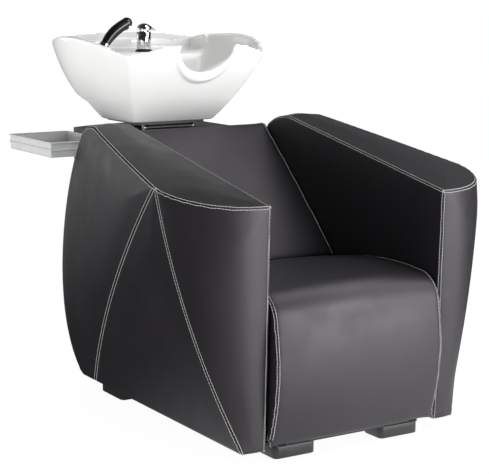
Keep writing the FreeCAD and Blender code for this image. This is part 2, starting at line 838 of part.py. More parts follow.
def dowel_places():
    """Middle of each batten behind the backrest, where a dowel runs into each arm."""
    along, normal = rest_axes()
    foot = Vector(0, S.rest_foot_depth, S.rest_foot_height)
    behind = S.rest_pad + S.rest_board_thickness + S.rest_rail_size / 2
    return [foot + along * (start + S.rest_rail_size / 2) - normal * behind
            for start in (S.rest_rail_low, S.rest_rail_high)]


def dowel(side, place_on_side, radius):
    """A dowel from a batten's end into the board inside an arm."""
    start = S.well_half - S.board_cover
    length = 2 * S.board_cover + S.board_thickness / 2
    x = start if side == "right" else -start - length
    return Part.makeCylinder(radius, length, Vector(x, place_on_side.y, place_on_side.z), Vector(1, 0, 0))


def dowel_holes(label, side):
    """The holes for both of one side's dowels."""
    holes = [dowel(side, spot, S.bolt_radius + S.hole_clearance) for spot in dowel_places()]
    return feature(label, Part.makeCompound(holes))


def build_arms():
    """Each arm's upholstered body, the board inside it, and the bolts that join both to the seat rails."""
    bolts = []
    dowels = []
    form = arm_form()
    mirror = form.mirror(Vector(0, 0, 0), Vector(1, 0, 0))
    for side, sign in SIDES.items():
        blank = feature(f"{side}_arm_blank", form if side == "right" else mirror)
        start = mirrored_start(side, "well_half + board_cover + board_thickness", "board_thickness")
        sheet_of_ply = box(f"{side}_arm_ply", "board_thickness", "board_depth", "board_height", start,
                           "board_start", "foot_height")
        pocket = box(f"{side}_arm_pocket", "board_thickness", "board_depth", "board_height + overrun", start,
                     "board_start", "foot_height - overrun")
        arm_holes = []
        board_holes = []
        for number, (y, z) in enumerate(rail_bolt_places()):
            name = f"{side}_rail_bolt_{number}"
            length = "board_cover + bolt_bite"
            x = mirrored_start(side, f"well_half + {length}", length)
            arm_holes.append(rod(name + "_skin_way", "bolt_radius + hole_clearance", length, x, y, z, "X"))
            board_holes.append(rod(name + "_board_way", "bolt_radius + hole_clearance", length, x, y, z, "X"))
            head = rod(name + "_head", "bolt_head_radius", "bolt_head",
                       mirrored_start(side, "well_half - rail_flange", "bolt_head"), y, z, "X")
            shank_length = f"{length} + rail_flange"
            shank = rod(name + "_shank", "bolt_radius", shank_length,
                        mirrored_start(side, f"well_half + {length}", shank_length), y, z, "X")
            bolts.append(fuse(name, head, shank))
        keep(cut(f"{side}_arm", blank, pocket, dowel_holes(f"{side}_arm_dowel_ways", side), *arm_holes))
        keep(cut(f"{side}_arm_board", sheet_of_ply, dowel_holes(f"{side}_board_dowel_ways", side),
                 *board_holes))
        dowels.extend(dowel(side, spot, S.bolt_radius) for spot in dowel_places())
    keep(group("arm_bolts", *bolts))
    keep(feature("backrest_dowels", Part.makeCompound(dowels)))


# Seat

def build_seat():
    """Rails between the arms, the seat's boards on them, and the cushion over both."""
    rails = []
    screws = []
    board_cuts = []
    under = "seat_pad_bottom - seat_board_thickness"
    for name in ("front", "rear"):
        y = f"{name}_rail_start"
        outside, inside = tube(f"{name}_rail", "2 * well_half", "rail_depth", "rail_height", "-well_half", y,
                               f"{under} - rail_height", "X")
        flanges = [box(f"{name}_rail_flange_{side}", "rail_flange", "rail_depth",
                       "rail_height + rail_flange_drop", mirrored_start(side, "well_half", "rail_flange"), y,
                       f"{under} - rail_height - rail_flange_drop") for side in SIDES]
        ways = [rod(f"{name}_rail_way_{side}", "bolt_radius + hole_clearance", "rail_flange + overrun",
                    mirrored_start(side, "well_half", "rail_flange + overrun"), f"{y} + rail_depth / 2",
                    f"{under} - rail_height - rail_flange_drop / 2", "X") for side in SIDES]
        for side, sign in SIDES.items():
            label = f"{name}_seat_screw_{side}"
            x = f"{sign}well_half / 2"
            middle = f"{y} + rail_depth / 2"
            bite = "seat_board_thickness / 2"
            ways.append(rod(label + "_way", "bolt_radius + hole_clearance", "rail_height + overrun", x, middle,
                            f"{under} - rail_height - overrun / 2"))
            board_cuts.append(rod(label + "_board_way", "bolt_radius + hole_clearance", f"{bite} + overrun", x,
                                  middle, f"{under} - overrun"))
            head = rod(label + "_head", "bolt_head_radius", "bolt_head", x, middle,
                       f"{under} - rail_height - bolt_head")
            shank = rod(label + "_shank", "bolt_radius", f"rail_height + {bite}", x, middle,
                        f"{under} - rail_height")
            screws.append(fuse(label, head, shank))
        rails.append(cut(f"{name}_seat_rail", fuse(f"{name}_rail_blank", cut(f"{name}_rail_hollow", outside,
                                                                             inside), *flanges), *ways))
    for rail in rails:
        keep(rail)
    keep(group("seat_screws", *screws))
    plate = box("seat_ply", "2 * (well_half - seat_gap)", "seat_depth - apron_back", "seat_board_thickness",
                "-(well_half - seat_gap)", "apron_back", under)
    keep(cut("seat_board", plate, *board_cuts))
    half = "(well_half - seat_gap - front_board_inset)"
    keep(box("front_board", f"2 * {half}", "front_board_thickness",
             f"{under} - foot_height - frame_tube_height", f"-{half}", "apron_back",
             "foot_height + frame_tube_height"))
    keep(feature("seat_cushion", seat_solid))


# Backrest

def rest_axes():
    """Unit vectors along the backrest, upwards, and square to it, towards the sitter."""
    along = Vector(0, S.rest_top_depth - S.rest_foot_depth, S.rest_top_height - S.rest_foot_height).normalize()
    return along, Vector(0, -along.z, along.y)


def rest_length():
    """Length of the backrest along its slope."""
    return math.hypot(S.rest_top_depth - S.rest_foot_depth, S.rest_top_height - S.rest_foot_height)


def rest_ring(side, crown):
    """The back cushion's section at one side distance, with its front arched by crown."""
    along, normal = rest_axes()
    foot = Vector(side, S.rest_foot_depth, S.rest_foot_height)
    edge = S.rest_crown + S.rest_side_draw
    low = foot - normal * S.rest_pad
    high = low + along * rest_length()
    low_front = foot - normal * edge
    high_front = low_front + along * rest_length()
    middle = foot + along * (rest_length() / 2) + normal * (crown - edge)
    return [line(low, low_front), arc(low_front, middle, high_front), line(high_front, high), line(high, low)]


def sloping_slab(half, start, length, depth, thickness):
    """A slab parallel to the backrest: start along the slope, depth behind the cushion's front plane."""
    along, normal = rest_axes()
    foot = Vector(-half, S.rest_foot_depth, S.rest_foot_height) + along * start - normal * depth
    across = Vector(2 * half, 0, 0)
    return Part.Face(Part.Wire(polygon([foot, foot + across, foot + across + along * length,
                                        foot + along * length]))).extrude(-normal * thickness)


def build_backrest():
    """Cushion on its board, with two battens behind it dowelled to the arms."""
    half = S.well_half - S.rest_gap
    edge = S.rest_crown + S.rest_side_draw
    keep(feature("back_cushion", lofted_solid([
        rest_ring(-half, S.rest_crown),
        rest_ring(0, edge),
        rest_ring(half, S.rest_crown),
    ])))
    keep(feature("back_board", sloping_slab(half, 0, rest_length(), S.rest_pad, S.rest_board_thickness)))
    behind = S.rest_pad + S.rest_board_thickness
    for name, start in (("lower", S.rest_rail_low), ("upper", S.rest_rail_high)):
        batten = sloping_slab(S.well_half, start, S.rest_rail_size, behind, S.rest_rail_size)
        for side in SIDES:
            for spot in dowel_places():
                batten = batten.cut(dowel(side, spot, S.bolt_radius + S.hole_clearance))
        keep(feature(f"back_batten_{name}", batten))


# Rear cover

def cover_ring(height, inset, side_depth, rear):
    """The cover's plan at one height, inset from its outside: front, side, rounded rear, side."""
    half = S.cover_half - inset
    start = S.cover_start - (S.overrun if inset else 0)
    corners = [Vector(half, start, height), Vector(half, side_depth, height),
               Vector(-half, side_depth, height), Vector(-half, start, height)]
    return [line(corners[0], corners[1]), arc(corners[1], Vector(0, rear - inset, height), corners[2]),
            line(corners[2], corners[3]), line(corners[3], corners[0])]


def build_rear_cover():
    """A rounded shell over the plumbing, open towards the chair, screwed by its flanges to two battens."""
    wall = S.cover_wall
    outside = ruled_solid([
        cover_ring(S.cover_foot, 0, S.cover_foot_side_depth, S.cover_foot_rear),
        cover_ring(S.cover_waist, 0, S.cover_side_depth, S.cover_rear),
        cover_ring(S.cover_top, 0, S.cover_side_depth, S.cover_rear),
    ])
    drop = (S.cover_foot_rear - S.cover_rear) / (S.cover_waist - S.cover_foot) * S.overrun
    inside = ruled_solid([
        cover_ring(S.cover_foot - S.overrun, wall, S.cover_foot_side_depth + drop, S.cover_foot_rear + drop),
        cover_ring(S.cover_waist, wall, S.cover_side_depth, S.cover_rear),
        cover_ring(S.cover_top - wall, wall, S.cover_side_depth, S.cover_rear),
    ])
    shell = feature("cover_shell", outside.cut(inside))
    screws = []
    flanges = []
    ways = []
    for side, sign in SIDES.items():
        flange_width = "well_half - cover_half + cover_wall"
        flanges.append(box(f"cover_flange_{side}", flange_width, "cover_wall", "cover_flange_top - cover_foot",
                           mirrored_start(side, "well_half", flange_width), "cover_start", "cover_foot"))
        stick = box(f"cover_stick_{side}", "batten_size", "batten_size", "cover_flange_top - cover_foot",
                    mirrored_start(side, "well_half", "batten_size"), "cover_start - batten_size", "cover_foot")
        stick_ways = []
        for z in ("cover_screw_low", "cover_screw_high"):
            label = f"{z}_{side}"
            x = f"{sign}(well_half - batten_size / 2)"
            start = "cover_start - batten_size / 2"
            length = "batten_size / 2 + cover_wall"
            ways.append(rod(label + "_way", "cover_screw_radius + hole_clearance", length, x, start, z, "Y"))
            stick_ways.append(rod(label + "_batten_way", "cover_screw_radius + hole_clearance", length, x,
                                  start, z, "Y"))
            head = rod(label + "_head", "cover_screw_head_radius", "cover_screw_head", x,
                       "cover_start + cover_wall", z, "Y")
            shank = rod(label + "_shank", "cover_screw_radius", length, x, start, z, "Y")
            screws.append(fuse(label + "_screw", head, shank))
        keep(cut(f"cover_batten_{side}", stick, *stick_ways))
    opening_half = "ear_start + ear_thickness + pin_head + top_opening_margin"
    ways.append(box("hinge_opening", f"2 * ({opening_half})", "yoke_depth", "2 * overrun", f"-({opening_half})",
                    "hinge_depth - yoke_depth / 2", "cover_top - overrun"))
    ways.append(rod("waste_opening", "top_hole_radius", "2 * overrun", "0", "waste_depth",
                    "cover_top - overrun"))
    ways.extend(bracket_screw_rods("cover_bracket", "cover_screw_radius + hole_clearance"))
    keep(cut("rear_cover", fuse("cover_blank", shell, *flanges), *ways))
    keep(group("cover_screws", *screws))


# Column and tilting hinge

def build_column():
    """A square tube on a foot plate, with a head plate that reaches back under the bowl."""
    base = "foot_height + frame_tube_height"
    post_start = f"{base} + column_base"
    plate = box("column_foot_plate", "2 * column_base_half", "rear_tube_depth", "column_base",
                "-column_base_half", "frame_end - rear_tube_depth", base)
    post = box("column_post", "column_side", "column_side", f"column_top - column_head - ({post_start})",
               "-column_side / 2", "column_start", post_start)
    hollow = box("column_hollow", "column_side - 2 * column_wall", "column_side - 2 * column_wall",
                 f"column_top - column_head - ({post_start})", "-(column_side / 2 - column_wall)",
                 "column_start + column_wall", post_start)
    head = box("column_head_plate", "2 * column_head_half", "column_head_depth", "column_head",
               "-column_head_half", "column_start", "column_top - column_head")
    ways = [rod(f"column_way_{number}", "bolt_radius + hole_clearance", "column_base + overrun", x, y, base)
            for number, (x, y) in enumerate(column_bolt_places())]
    ways.extend(rod(f"yoke_thread_{number}", "bolt_radius + hole_clearance", "column_head + overrun", x, y,
                    "column_top - column_head - overrun / 2")
                for number, (x, y) in enumerate(yoke_bolt_places()))
    keep(cut("bowl_column", fuse("column_blank", plate, cut("column_tube", post, hollow), head), *ways))
    bolts = []
    for number, (x, y) in enumerate(column_bolt_places()):
        shank = rod(f"column_bolt_shank_{number}", "bolt_radius", "column_base + bolt_bite", x, y,
                    f"{base} - bolt_bite")
        cap = rod(f"column_bolt_head_{number}", "bolt_head_radius", "bolt_head", x, y, post_start)
        bolts.append(fuse(f"column_bolt_{number}", shank, cap))
    keep(group("column_bolts", *bolts))


def yoke_bolt_places():
    """Places of the four bolts that hold the hinge's yoke on the column's head."""
    return [(f"{sign}yoke_bolt_reach", f"hinge_depth {step} yoke_bolt_spread")
            for sign in SIDES.values() for step in ("-", "+")]


def build_hinge():
    """The yoke with its two ears, and the pin through them that the bowl's carrier tilts on."""
    base = box("yoke_plate", "2 * column_head_half", "yoke_depth", "yoke_base", "-column_head_half",
               "hinge_depth - yoke_depth / 2", "column_top")
    pieces = [base]
    for side in SIDES:
        x = mirrored_start(side, "ear_start + ear_thickness", "ear_thickness")
        pieces.append(box(f"ear_{side}", "ear_thickness", "2 * ear_radius", "hinge_height - column_top", x,
                          "hinge_depth - ear_radius", "column_top"))
        pieces.append(rod(f"ear_round_{side}", "ear_radius", "ear_thickness", x, "hinge_depth",
                          "hinge_height", "X"))
    reach = "(ear_start + ear_thickness)"
    bore = rod("yoke_bore", "pin_radius + pin_clearance", f"2 * {reach} + 2 * overrun", f"-{reach} - overrun",
               "hinge_depth", "hinge_height", "X")
    ways = [rod(f"yoke_way_{number}", "bolt_radius + hole_clearance", "yoke_base + overrun", x, y, "column_top")
            for number, (x, y) in enumerate(yoke_bolt_places())]
    keep(cut("hinge_yoke", fuse("yoke_blank", *pieces), bore, *ways))
    bolts = []
    for number, (x, y) in enumerate(yoke_bolt_places()):
        shank = rod(f"yoke_bolt_shank_{number}", "bolt_radius", "column_head + yoke_base", x, y,
                    "column_top - column_head")
        cap = rod(f"yoke_bolt_head_{number}", "bolt_head_radius", "bolt_head", x, y, "column_top + yoke_base")
        bolts.append(fuse(f"yoke_bolt_{number}", shank, cap))
    keep(group("yoke_bolts", *bolts))
    shaft = rod("pin_shaft", "pin_radius", f"2 * {reach}", f"-{reach}", "hinge_depth", "hinge_height", "X")
    heads = [rod(f"pin_head_{side}", "pin_head_radius", "pin_head",
                 mirrored_start(side, f"{reach} + pin_head", "pin_head"), "hinge_depth", "hinge_height", "X")
             for side in SIDES]
    keep(fuse("hinge_pin", shaft, *heads))


def build_carrier():
    """The plate that tilts on the pin, and the rubber pad between it and the bowl."""
    under = "hinge_height + barrel_radius"
    length = "2 * (ear_start - barrel_gap)"
    start = "-(ear_start - barrel_gap)"
    plate = box("carrier_plate", "2 * carrier_half", "carrier_depth", "carrier_thickness", "-carrier_half",
                "carrier_start", under)
    barrel = rod("carrier_barrel", "barrel_radius", length, start, "hinge_depth", "hinge_height", "X")
    web = box("carrier_web", length, "web_thickness", "barrel_radius", start,
              "hinge_depth - web_thickness / 2", "hinge_height")
    bore = rod("carrier_bore", "pin_radius + pin_clearance", f"{length} + 2 * overrun", f"{start} - overrun",
               "hinge_depth", "hinge_height", "X")
    way = rod("carrier_way", "clamp_hole_radius", "carrier_thickness + 2 * overrun", "0", "waste_depth",
              f"{under} - overrun")
    keep(cut("bowl_carrier", fuse("carrier_blank", plate, barrel, web), bore, way))
    pad = box("pad_sheet", "2 * carrier_half", "carrier_depth", "carrier_pad", "-carrier_half", "carrier_start",
              f"{under} + carrier_thickness")
    pad_way = rod("pad_way", "clamp_hole_radius", "carrier_pad + 2 * overrun", "0", "waste_depth", under)
    keep(cut("bowl_pad", pad, pad_way))


# Bowl and waste

def build_bowl():
    """The ceramic bowl."""
    solid = bowl_outside
    for hollow in bowl_hollow():
        solid = solid.cut(hollow)
    keep(feature("bowl", solid))




def build_waste():
    """Flanged outlet through the bowl's floor, its nut below the carrier, tail pipe and lift-out strainer."""
    seat = "bowl_foot_level + bowl_floor"
    end = "bowl_foot_level - waste_drop"
    flange = rod("waste_rim", "waste_flange_radius", "waste_flange", "0", "waste_depth", seat)
    body = rod("waste_body", "waste_radius", "waste_drop + bowl_floor", "0", "waste_depth", end)
    bore = rod("waste_way", "waste_bore", "waste_drop + bowl_floor + waste_flange + 2 * overrun", "0",
               "waste_depth", f"{end} - overrun")
    keep(cut("waste_flange", fuse("waste_blank", flange, body), bore))
    under = "hinge_height + barrel_radius"
    ring = rod("waste_nut_blank", "waste_nut_radius", "waste_nut", "0", "waste_depth", f"{under} - waste_nut")
    ring_way = rod("waste_nut_way", "waste_radius + hole_clearance", "waste_nut + 2 * overrun", "0",
                   "waste_depth", f"{under} - waste_nut - overrun")
    keep(cut("waste_nut", ring, ring_way))
    cup = rod("tail_cup_blank", "tail_cup_radius", "tail_cup", "0", "waste_depth", f"{end} - tail_cup_floor")
    pipe = rod("tail_pipe", "tail_radius", "tail_drop", "0", "waste_depth",
               f"{end} - tail_cup_floor - tail_drop")
    cup_way = rod("tail_cup_way", "waste_radius + hole_clearance", "tail_cup + overrun", "0", "waste_depth",
                  end)
    pipe_way = rod("tail_way", "tail_bore", "tail_drop + tail_cup + 2 * overrun", "0", "waste_depth",
                   f"{end} - tail_cup_floor - tail_drop - overrun")
    keep(cut("waste_tail", fuse("tail_blank", cup, pipe), cup_way, pipe_way))
    top = f"{seat} + waste_flange"
    plate = rod("strainer_rim", "strainer_radius", "strainer_plate", "0", "waste_depth", top)
    basket = rod("strainer_cup", "strainer_basket_radius", "strainer_basket", "0", "waste_depth",
                 f"{top} - strainer_basket")
    knob = rod("strainer_stem", "strainer_knob_radius", "strainer_knob + strainer_basket_wall", "0",
               "waste_depth", f"{top} + strainer_plate - strainer_basket_wall")
    hollow = rod("strainer_hollow", "strainer_basket_radius - strainer_basket_wall", "strainer_basket", "0",
                 "waste_depth", f"{top} - strainer_basket - strainer_basket_wall")
    slots = []
    for number in range(STRAINER_SLOTS):
        turn = math.radians(360 / STRAINER_SLOTS * number)
        slot = rod(f"strainer_slot_{number}", "strainer_slot_radius", "strainer_plate + 2 * overrun",
                   f"strainer_slot_circle * {math.cos(turn):.6f}",
                   f"waste_depth + strainer_slot_circle * {math.sin(turn):.6f}", f"{top} - overrun")
        slots.append(slot)
    keep(cut("hair_strainer", fuse("strainer_blank", plate, basket, knob), hollow, *slots))


# Mixer tap

def build_tap():
    """Tap body on its ring, clamped through the deck, with the cartridge inside its top."""
    deck = "deck_height"
    top = f"{deck} + tap_ring + tap_height"
    ring = rod("tap_ring_blank", "tap_ring_radius", "tap_ring", "tap_side", "tap_depth", deck)
    ring_way = rod("tap_ring_way", "tap_shank_radius + hole_clearance", "tap_ring + 2 * overrun", "tap_side",
                   "tap_depth", f"{deck} - overrun")
    keep(cut("tap_ring", ring, ring_way))
    column = rod("tap_column", "tap_radius", "tap_height", "tap_side", "tap_depth", f"{deck} + tap_ring")
    shank = rod("tap_shank", "tap_shank_radius", "tap_shank + tap_ring", "tap_side", "tap_depth",
                f"{deck} - tap_shank")
    chamber = rod("tap_chamber", "cartridge_radius", "cartridge_depth + overrun", "tap_side", "tap_depth",
                  f"{top} - cartridge_depth")
    keep(cut("tap_body", fuse("tap_blank", column, shank), chamber))
    nut = rod("tap_nut_blank", "tap_nut_radius", "tap_nut", "tap_side", "tap_depth",
              f"{deck} - deck_thickness - tap_nut")
    nut_way = rod("tap_nut_way", "tap_shank_radius + hole_clearance", "tap_nut + 2 * overrun", "tap_side",
                  "tap_depth", f"{deck} - deck_thickness - tap_nut - overrun")
    keep(cut("tap_nut", nut, nut_way))
    plug = rod("cartridge_plug", "cartridge_radius", "cartridge_depth", "tap_side", "tap_depth",
               f"{top} - cartridge_depth")
    plug_way = rod("cartridge_way", "spindle_radius + spindle_clearance", "spindle_depth + stem_gap + overrun",
                   "tap_side", "tap_depth", f"{top} - spindle_depth - stem_gap")
    keep(cut("tap_cartridge", plug, plug_way))
    plate = rod("stem_plate_disc", "stem_radius", "stem_plate", "tap_side", "tap_depth", f"{top} + stem_gap")
    spindle = rod("stem_spindle", "spindle_radius", "spindle_depth + stem_gap", "tap_side", "tap_depth",
                  f"{top} - spindle_depth")
    lug = box("stem_lug", "lug_length", "lug_width", "lug_rise", "tap_side - lug_length / 2",
              "tap_depth - lug_width / 2", f"{top} + stem_gap + stem_plate")
    pin_height = f"{top} + stem_gap + stem_plate + lug_rise - 2 * lever_pin_radius"
    bore = rod("stem_bore", "lever_pin_radius + lever_pin_clearance", "lug_width + 2 * overrun", "tap_side",
               "tap_depth - lug_width / 2 - overrun", pin_height, "Y")
    keep(cut("tap_stem", fuse("stem_blank", plate, spindle, lug), bore))
    reach = "(lever_radius - lever_shell)"
    keep(rod("lever_pin", "lever_pin_radius", f"2 * {reach}", "tap_side", f"tap_depth - {reach}", pin_height,
             "Y"))
    keep(feature("tap_lever", lever_form()))


def lever_form():
    """A domed cap over the stem with a flat blade, slotted for the pin and open behind for the lift."""
    base = S.deck_height + S.tap_ring + S.tap_height + S.lever_gap
    stem_top = S.deck_height + S.tap_ring + S.tap_height + S.stem_gap + S.stem_plate + S.lug_rise
    centre = Vector(S.tap_side, S.tap_depth, base)
    outer = Part.makeSphere(S.lever_radius, centre, Vector(0, 0, 1), 0, 90, 360)
    inner = Part.makeSphere(S.lever_radius - S.lever_shell, centre, Vector(0, 0, 1), 0, 90, 360)
    root = S.lever_radius - S.lever_shell
    blade = prism(polygon([
        centre + Vector(0, -root / 2, S.lever_blade),
        centre + Vector(S.lever_reach, -S.lever_tip_half, S.lever_blade),
        centre + Vector(S.lever_reach, S.lever_tip_half, S.lever_blade),
        centre + Vector(0, root / 2, S.lever_blade),
    ]), Vector(0, 0, S.lever_blade))
    pin_height = stem_top - 2 * S.lever_pin_radius
    reach = S.lever_radius - S.lever_shell
    pin = Part.makeCylinder(S.lever_pin_radius, 2 * reach, Vector(S.tap_side, S.tap_depth - reach, pin_height),
                            Vector(0, 1, 0))
    behind = Part.makeBox(S.lever_radius + S.overrun, 2 * (S.lever_radius + S.overrun), pin_height - base
                          + S.lever_pin_radius,
                          Vector(S.tap_side - S.lever_radius - S.overrun - S.lug_length / 2,
                                 S.tap_depth - S.lever_radius - S.overrun, base))
    return outer.fuse(blade).cut(inner).cut(pin).cut(behind)


# Hand shower

def shower_axis():
    """Where the leaning socket starts and the direction it leans in."""
    lean = math.radians(S.shower_lean)
    start = Vector(-S.shower_side, S.shower_depth, S.deck_height + S.socket_start)
    return start, Vector(math.sin(lean), 0, math.cos(lean))


def build_shower():
    """Leaning socket clamped through the deck, and the hand shower that stands in it."""
    start, lean = shower_axis()
    bore_start = start + lean * S.socket_floor
    upright = Vector(-S.shower_side, S.shower_depth, S.deck_height)
    sleeve = Part.makeCylinder(S.socket_radius, S.socket_length, start, lean)
    below = Part.makeBox(4 * S.socket_radius, 4 * S.socket_radius, 2 * S.socket_radius,
                         upright - Vector(2 * S.socket_radius, 2 * S.socket_radius, 2 * S.socket_radius))
    ring = Part.makeCylinder(S.socket_ring_radius, S.socket_ring, upright)
    shank = Part.makeCylinder(S.socket_shank_radius, S.socket_shank, upright - Vector(0, 0, S.socket_shank))
    bore = Part.makeCylinder(S.grip_radius + S.grip_clearance, S.socket_length + S.overrun, bore_start, lean)
    keep(feature("shower_socket", sleeve.cut(below).fuse(ring).fuse(shank).cut(bore)))
    under = S.deck_height - S.deck_thickness
    nut_foot = upright - Vector(0, 0, S.deck_thickness + S.socket_nut)
    nut = Part.makeCylinder(S.socket_nut_radius, S.socket_nut, nut_foot)
    nut_way = Part.makeCylinder(S.socket_shank_radius + S.hole_clearance, S.socket_nut, nut_foot)
    keep(feature("socket_nut", nut.cut(nut_way)))
    bend_start = bore_start + lean * S.grip_length
    across = Vector(lean.z, 0, -lean.x)
    bend_centre = bend_start + across * S.grip_bend
    axis = Vector(0, 1, 0)
    section = Part.Face(Part.Wire(Part.makeCircle(S.grip_radius, bend_start, lean)))
    bend = section.revolve(bend_centre, axis, S.grip_turn)
    grip = Part.makeCylinder(S.grip_radius, S.grip_length, bore_start, lean).fuse(bend)
    turn = Rotation(axis, S.grip_turn)
    head_start = bend_centre + turn.multVec(bend_start - bend_centre)
    aim = turn.multVec(lean)
    head = Part.makeCylinder(S.head_radius, S.head_length, head_start, aim)
    keep(feature("shower_grip", grip.fuse(head).removeSplitter()))
    collar_start = start + lean * (S.socket_length + S.collar_length / 2)
    collar = Part.makeCylinder(S.collar_radius, S.collar_length, collar_start, lean)
    collar_way = Part.makeCylinder(S.grip_radius, S.collar_length, collar_start, lean)
    keep(feature("shower_collar", collar.cut(collar_way)))
    face_start = head_start + aim * S.head_length
    face = Part.makeCylinder(S.face_radius, S.face_plate, face_start, aim)
    for number in range(FACE_HOLES):
        spin = Rotation(aim, 360 / FACE_HOLES * number)
        spot = face_start + spin.multVec(axis) * S.face_hole_circle
        face = face.cut(Part.makeCylinder(S.face_hole_radius, S.face_plate, spot, aim))
    keep(feature("spray_face", face))


# Tray

def bracket_screw_rods(label, radius):
    """The two screws' ways, or shanks, from the bracket's flange through the cover's side wall."""
    rods = []
    for number, y in enumerate(("bracket_start + bracket_screw_inset",
                                "bracket_start + bracket_depth - bracket_screw_inset")):
        rods.append(rod(f"{label}_{number}", radius, "bracket_thickness + cover_wall",
                        "-cover_half - bracket_thickness", y,
                        "tray_top - tray_height - bracket_screw_drop", "X"))
    return rods


def build_tray():
    """An open tray that stands on an angle bracket screwed to the rear cover's left wall."""
    x = "-(cover_half + tray_gap + tray_width)"
    floor = "tray_top - tray_height"
    outside = box("tray_outside", "tray_width", "tray_depth", "tray_height", x, "tray_start", floor)
    lip = box("tray_rim", "tray_width + 2 * tray_lip", "tray_depth + 2 * tray_lip", "tray_lip_thickness",
              f"{x} - tray_lip", "tray_start - tray_lip", "tray_top - tray_lip_thickness")
    rib = box("tray_band", "tray_width + 2 * tray_rib", "tray_depth + 2 * tray_rib", "tray_rib",
              f"{x} - tray_rib", "tray_start - tray_rib", "tray_top - tray_rib_drop")
    inside = box("tray_inside", "tray_width - 2 * tray_wall", "tray_depth - 2 * tray_wall", "tray_height",
                 f"{x} + tray_wall", "tray_start + tray_wall", f"{floor} + tray_wall")
    keep(cut("tray", fuse("tray_blank", outside, lip, rib), inside))
    shelf = box("bracket_shelf", "bracket_reach", "bracket_depth", "bracket_thickness",
                "-cover_half - bracket_reach", "bracket_start", f"{floor} - bracket_thickness")
    flange = box("bracket_flange", "bracket_thickness", "bracket_depth", "bracket_drop",
                 "-cover_half - bracket_thickness", "bracket_start", f"{floor} - bracket_drop")
    keep(cut("tray_bracket", fuse("bracket_blank", shelf, flange),
             *bracket_screw_rods("bracket_way", "cover_screw_radius + hole_clearance")))
    shanks = bracket_screw_rods("bracket_shank", "cover_screw_radius")
    screws = []
    for number, (shank, y) in enumerate(zip(shanks, ("bracket_start + bracket_screw_inset",
                                                     "bracket_start + bracket_depth - bracket_screw_inset"))):
        head = rod(f"bracket_head_{number}", "cover_screw_head_radius", "cover_screw_head",
                   "-cover_half - bracket_thickness - cover_screw_head", y,
                   f"{floor} - bracket_screw_drop", "X")
        screws.append(fuse(f"bracket_screw_{number}", head, shank))
    keep(group("bracket_screws", *screws))


def main():
    """Builds every piece, checks it and writes it."""
    build_frame(build_feet())
    build_arms()
    build_seat()
    build_backrest()
    build_rear_cover()
    build_column()
    build_hinge()
    build_carrier()
    build_bowl()
    build_waste()
    build_tap()
    build_shower()
    build_tray()
    doc.recompute()
    failed = [obj.Label for obj in doc.Objects if {"Invalid", "Error"} & set(obj.State)]
    if failed:
        raise RuntimeError("failed objects: " + ", ".join(failed))
    for label, obj in nodes.items():
        if obj.Shape.isNull() or not obj.Shape.isValid() or not obj.Shape.Solids:
            raise RuntimeError(f"{label} has no valid solid")
    os.makedirs("parts", exist_ok=True)
    for label, obj in nodes.items():
        obj.Shape.exportStep(f"parts/{label}.step")
        print(label, len(obj.Shape.Solids), round(obj.Shape.Volume / 1000, 1))
    print("nodes", len(nodes), "centre depth", round(centre_depth, 4))


main()
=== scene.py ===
"""Looks of the backwash unit: sewn leather arms and cushions, glazed bowl, tap, hand shower and tray."""
import json
import logging
import math
from collections.abc import Callable, Iterable, Sequence
from dataclasses import dataclass
from enum import Enum

import bmesh
import bpy
import numpy as np
from mathutils import Matrix, Vector
from mathutils.bvhtree import BVHTree
from mathutils.kdtree import KDTree


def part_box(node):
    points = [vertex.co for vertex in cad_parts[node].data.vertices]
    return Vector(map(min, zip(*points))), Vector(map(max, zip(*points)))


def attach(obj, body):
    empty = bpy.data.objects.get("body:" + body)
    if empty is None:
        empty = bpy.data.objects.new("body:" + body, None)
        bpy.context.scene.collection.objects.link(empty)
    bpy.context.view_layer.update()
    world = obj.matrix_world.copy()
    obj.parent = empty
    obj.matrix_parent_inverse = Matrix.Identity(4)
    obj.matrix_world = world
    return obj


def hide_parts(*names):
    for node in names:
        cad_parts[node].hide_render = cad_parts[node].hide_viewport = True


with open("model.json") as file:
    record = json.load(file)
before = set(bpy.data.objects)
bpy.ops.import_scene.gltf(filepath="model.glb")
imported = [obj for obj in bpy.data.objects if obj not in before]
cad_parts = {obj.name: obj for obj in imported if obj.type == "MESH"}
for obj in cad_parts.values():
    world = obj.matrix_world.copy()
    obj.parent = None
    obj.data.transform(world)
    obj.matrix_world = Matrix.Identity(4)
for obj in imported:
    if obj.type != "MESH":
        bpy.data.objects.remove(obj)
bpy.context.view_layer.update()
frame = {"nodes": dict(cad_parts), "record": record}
LOG = logging.getLogger("backwash_unit")

# How far the arms' front edges lean forward of their foot line, and where that line lies
ARM_RAKE = 0.022
DEPTH_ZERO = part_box("right_arm")[0].y + ARM_RAKE

# Distances at which points are one, with the decimals to match, lie on a face or count as nothing
WELD = 1e-5
WELD_PLACES = 5
TOUCH = 1e-4
NOTHING = 1e-9

# Steps that a share at a point is rounded to, and the range that a cloudy pattern mostly fills
SHARE_STEPS = 10
CLOUD_RANGE = (0.3, 0.7)


class Side(Enum):
    """The two sides of the unit, seen from the front, with the sign of their X."""

    LEFT = -1
    RIGHT = 1


class Body(Enum):
    """The rigid bodies that pieces ride on."""

    CHAIR = "chair"
    BOWL = "bowl_unit"
    STRAINER = "strainer"
    STEM = "mixer_stem"
    LEVER = "mixer_lever"
    HANDSET = "handset"
    TRAY = "tool_tray"


def at(side: float, depth: float, height: float) -> Vector:
    """A point from its side distance, its depth behind the arms' foot line and its height.

    Args:
        side: Distance to the right of the middle.
        depth: Distance behind the line where the arms' front edges meet the floor side.
        height: Height above the floor.

    Returns:
        The point in the frame shared with the solids.
    """
    return Vector((side, depth + DEPTH_ZERO, height))


# Shaping tools

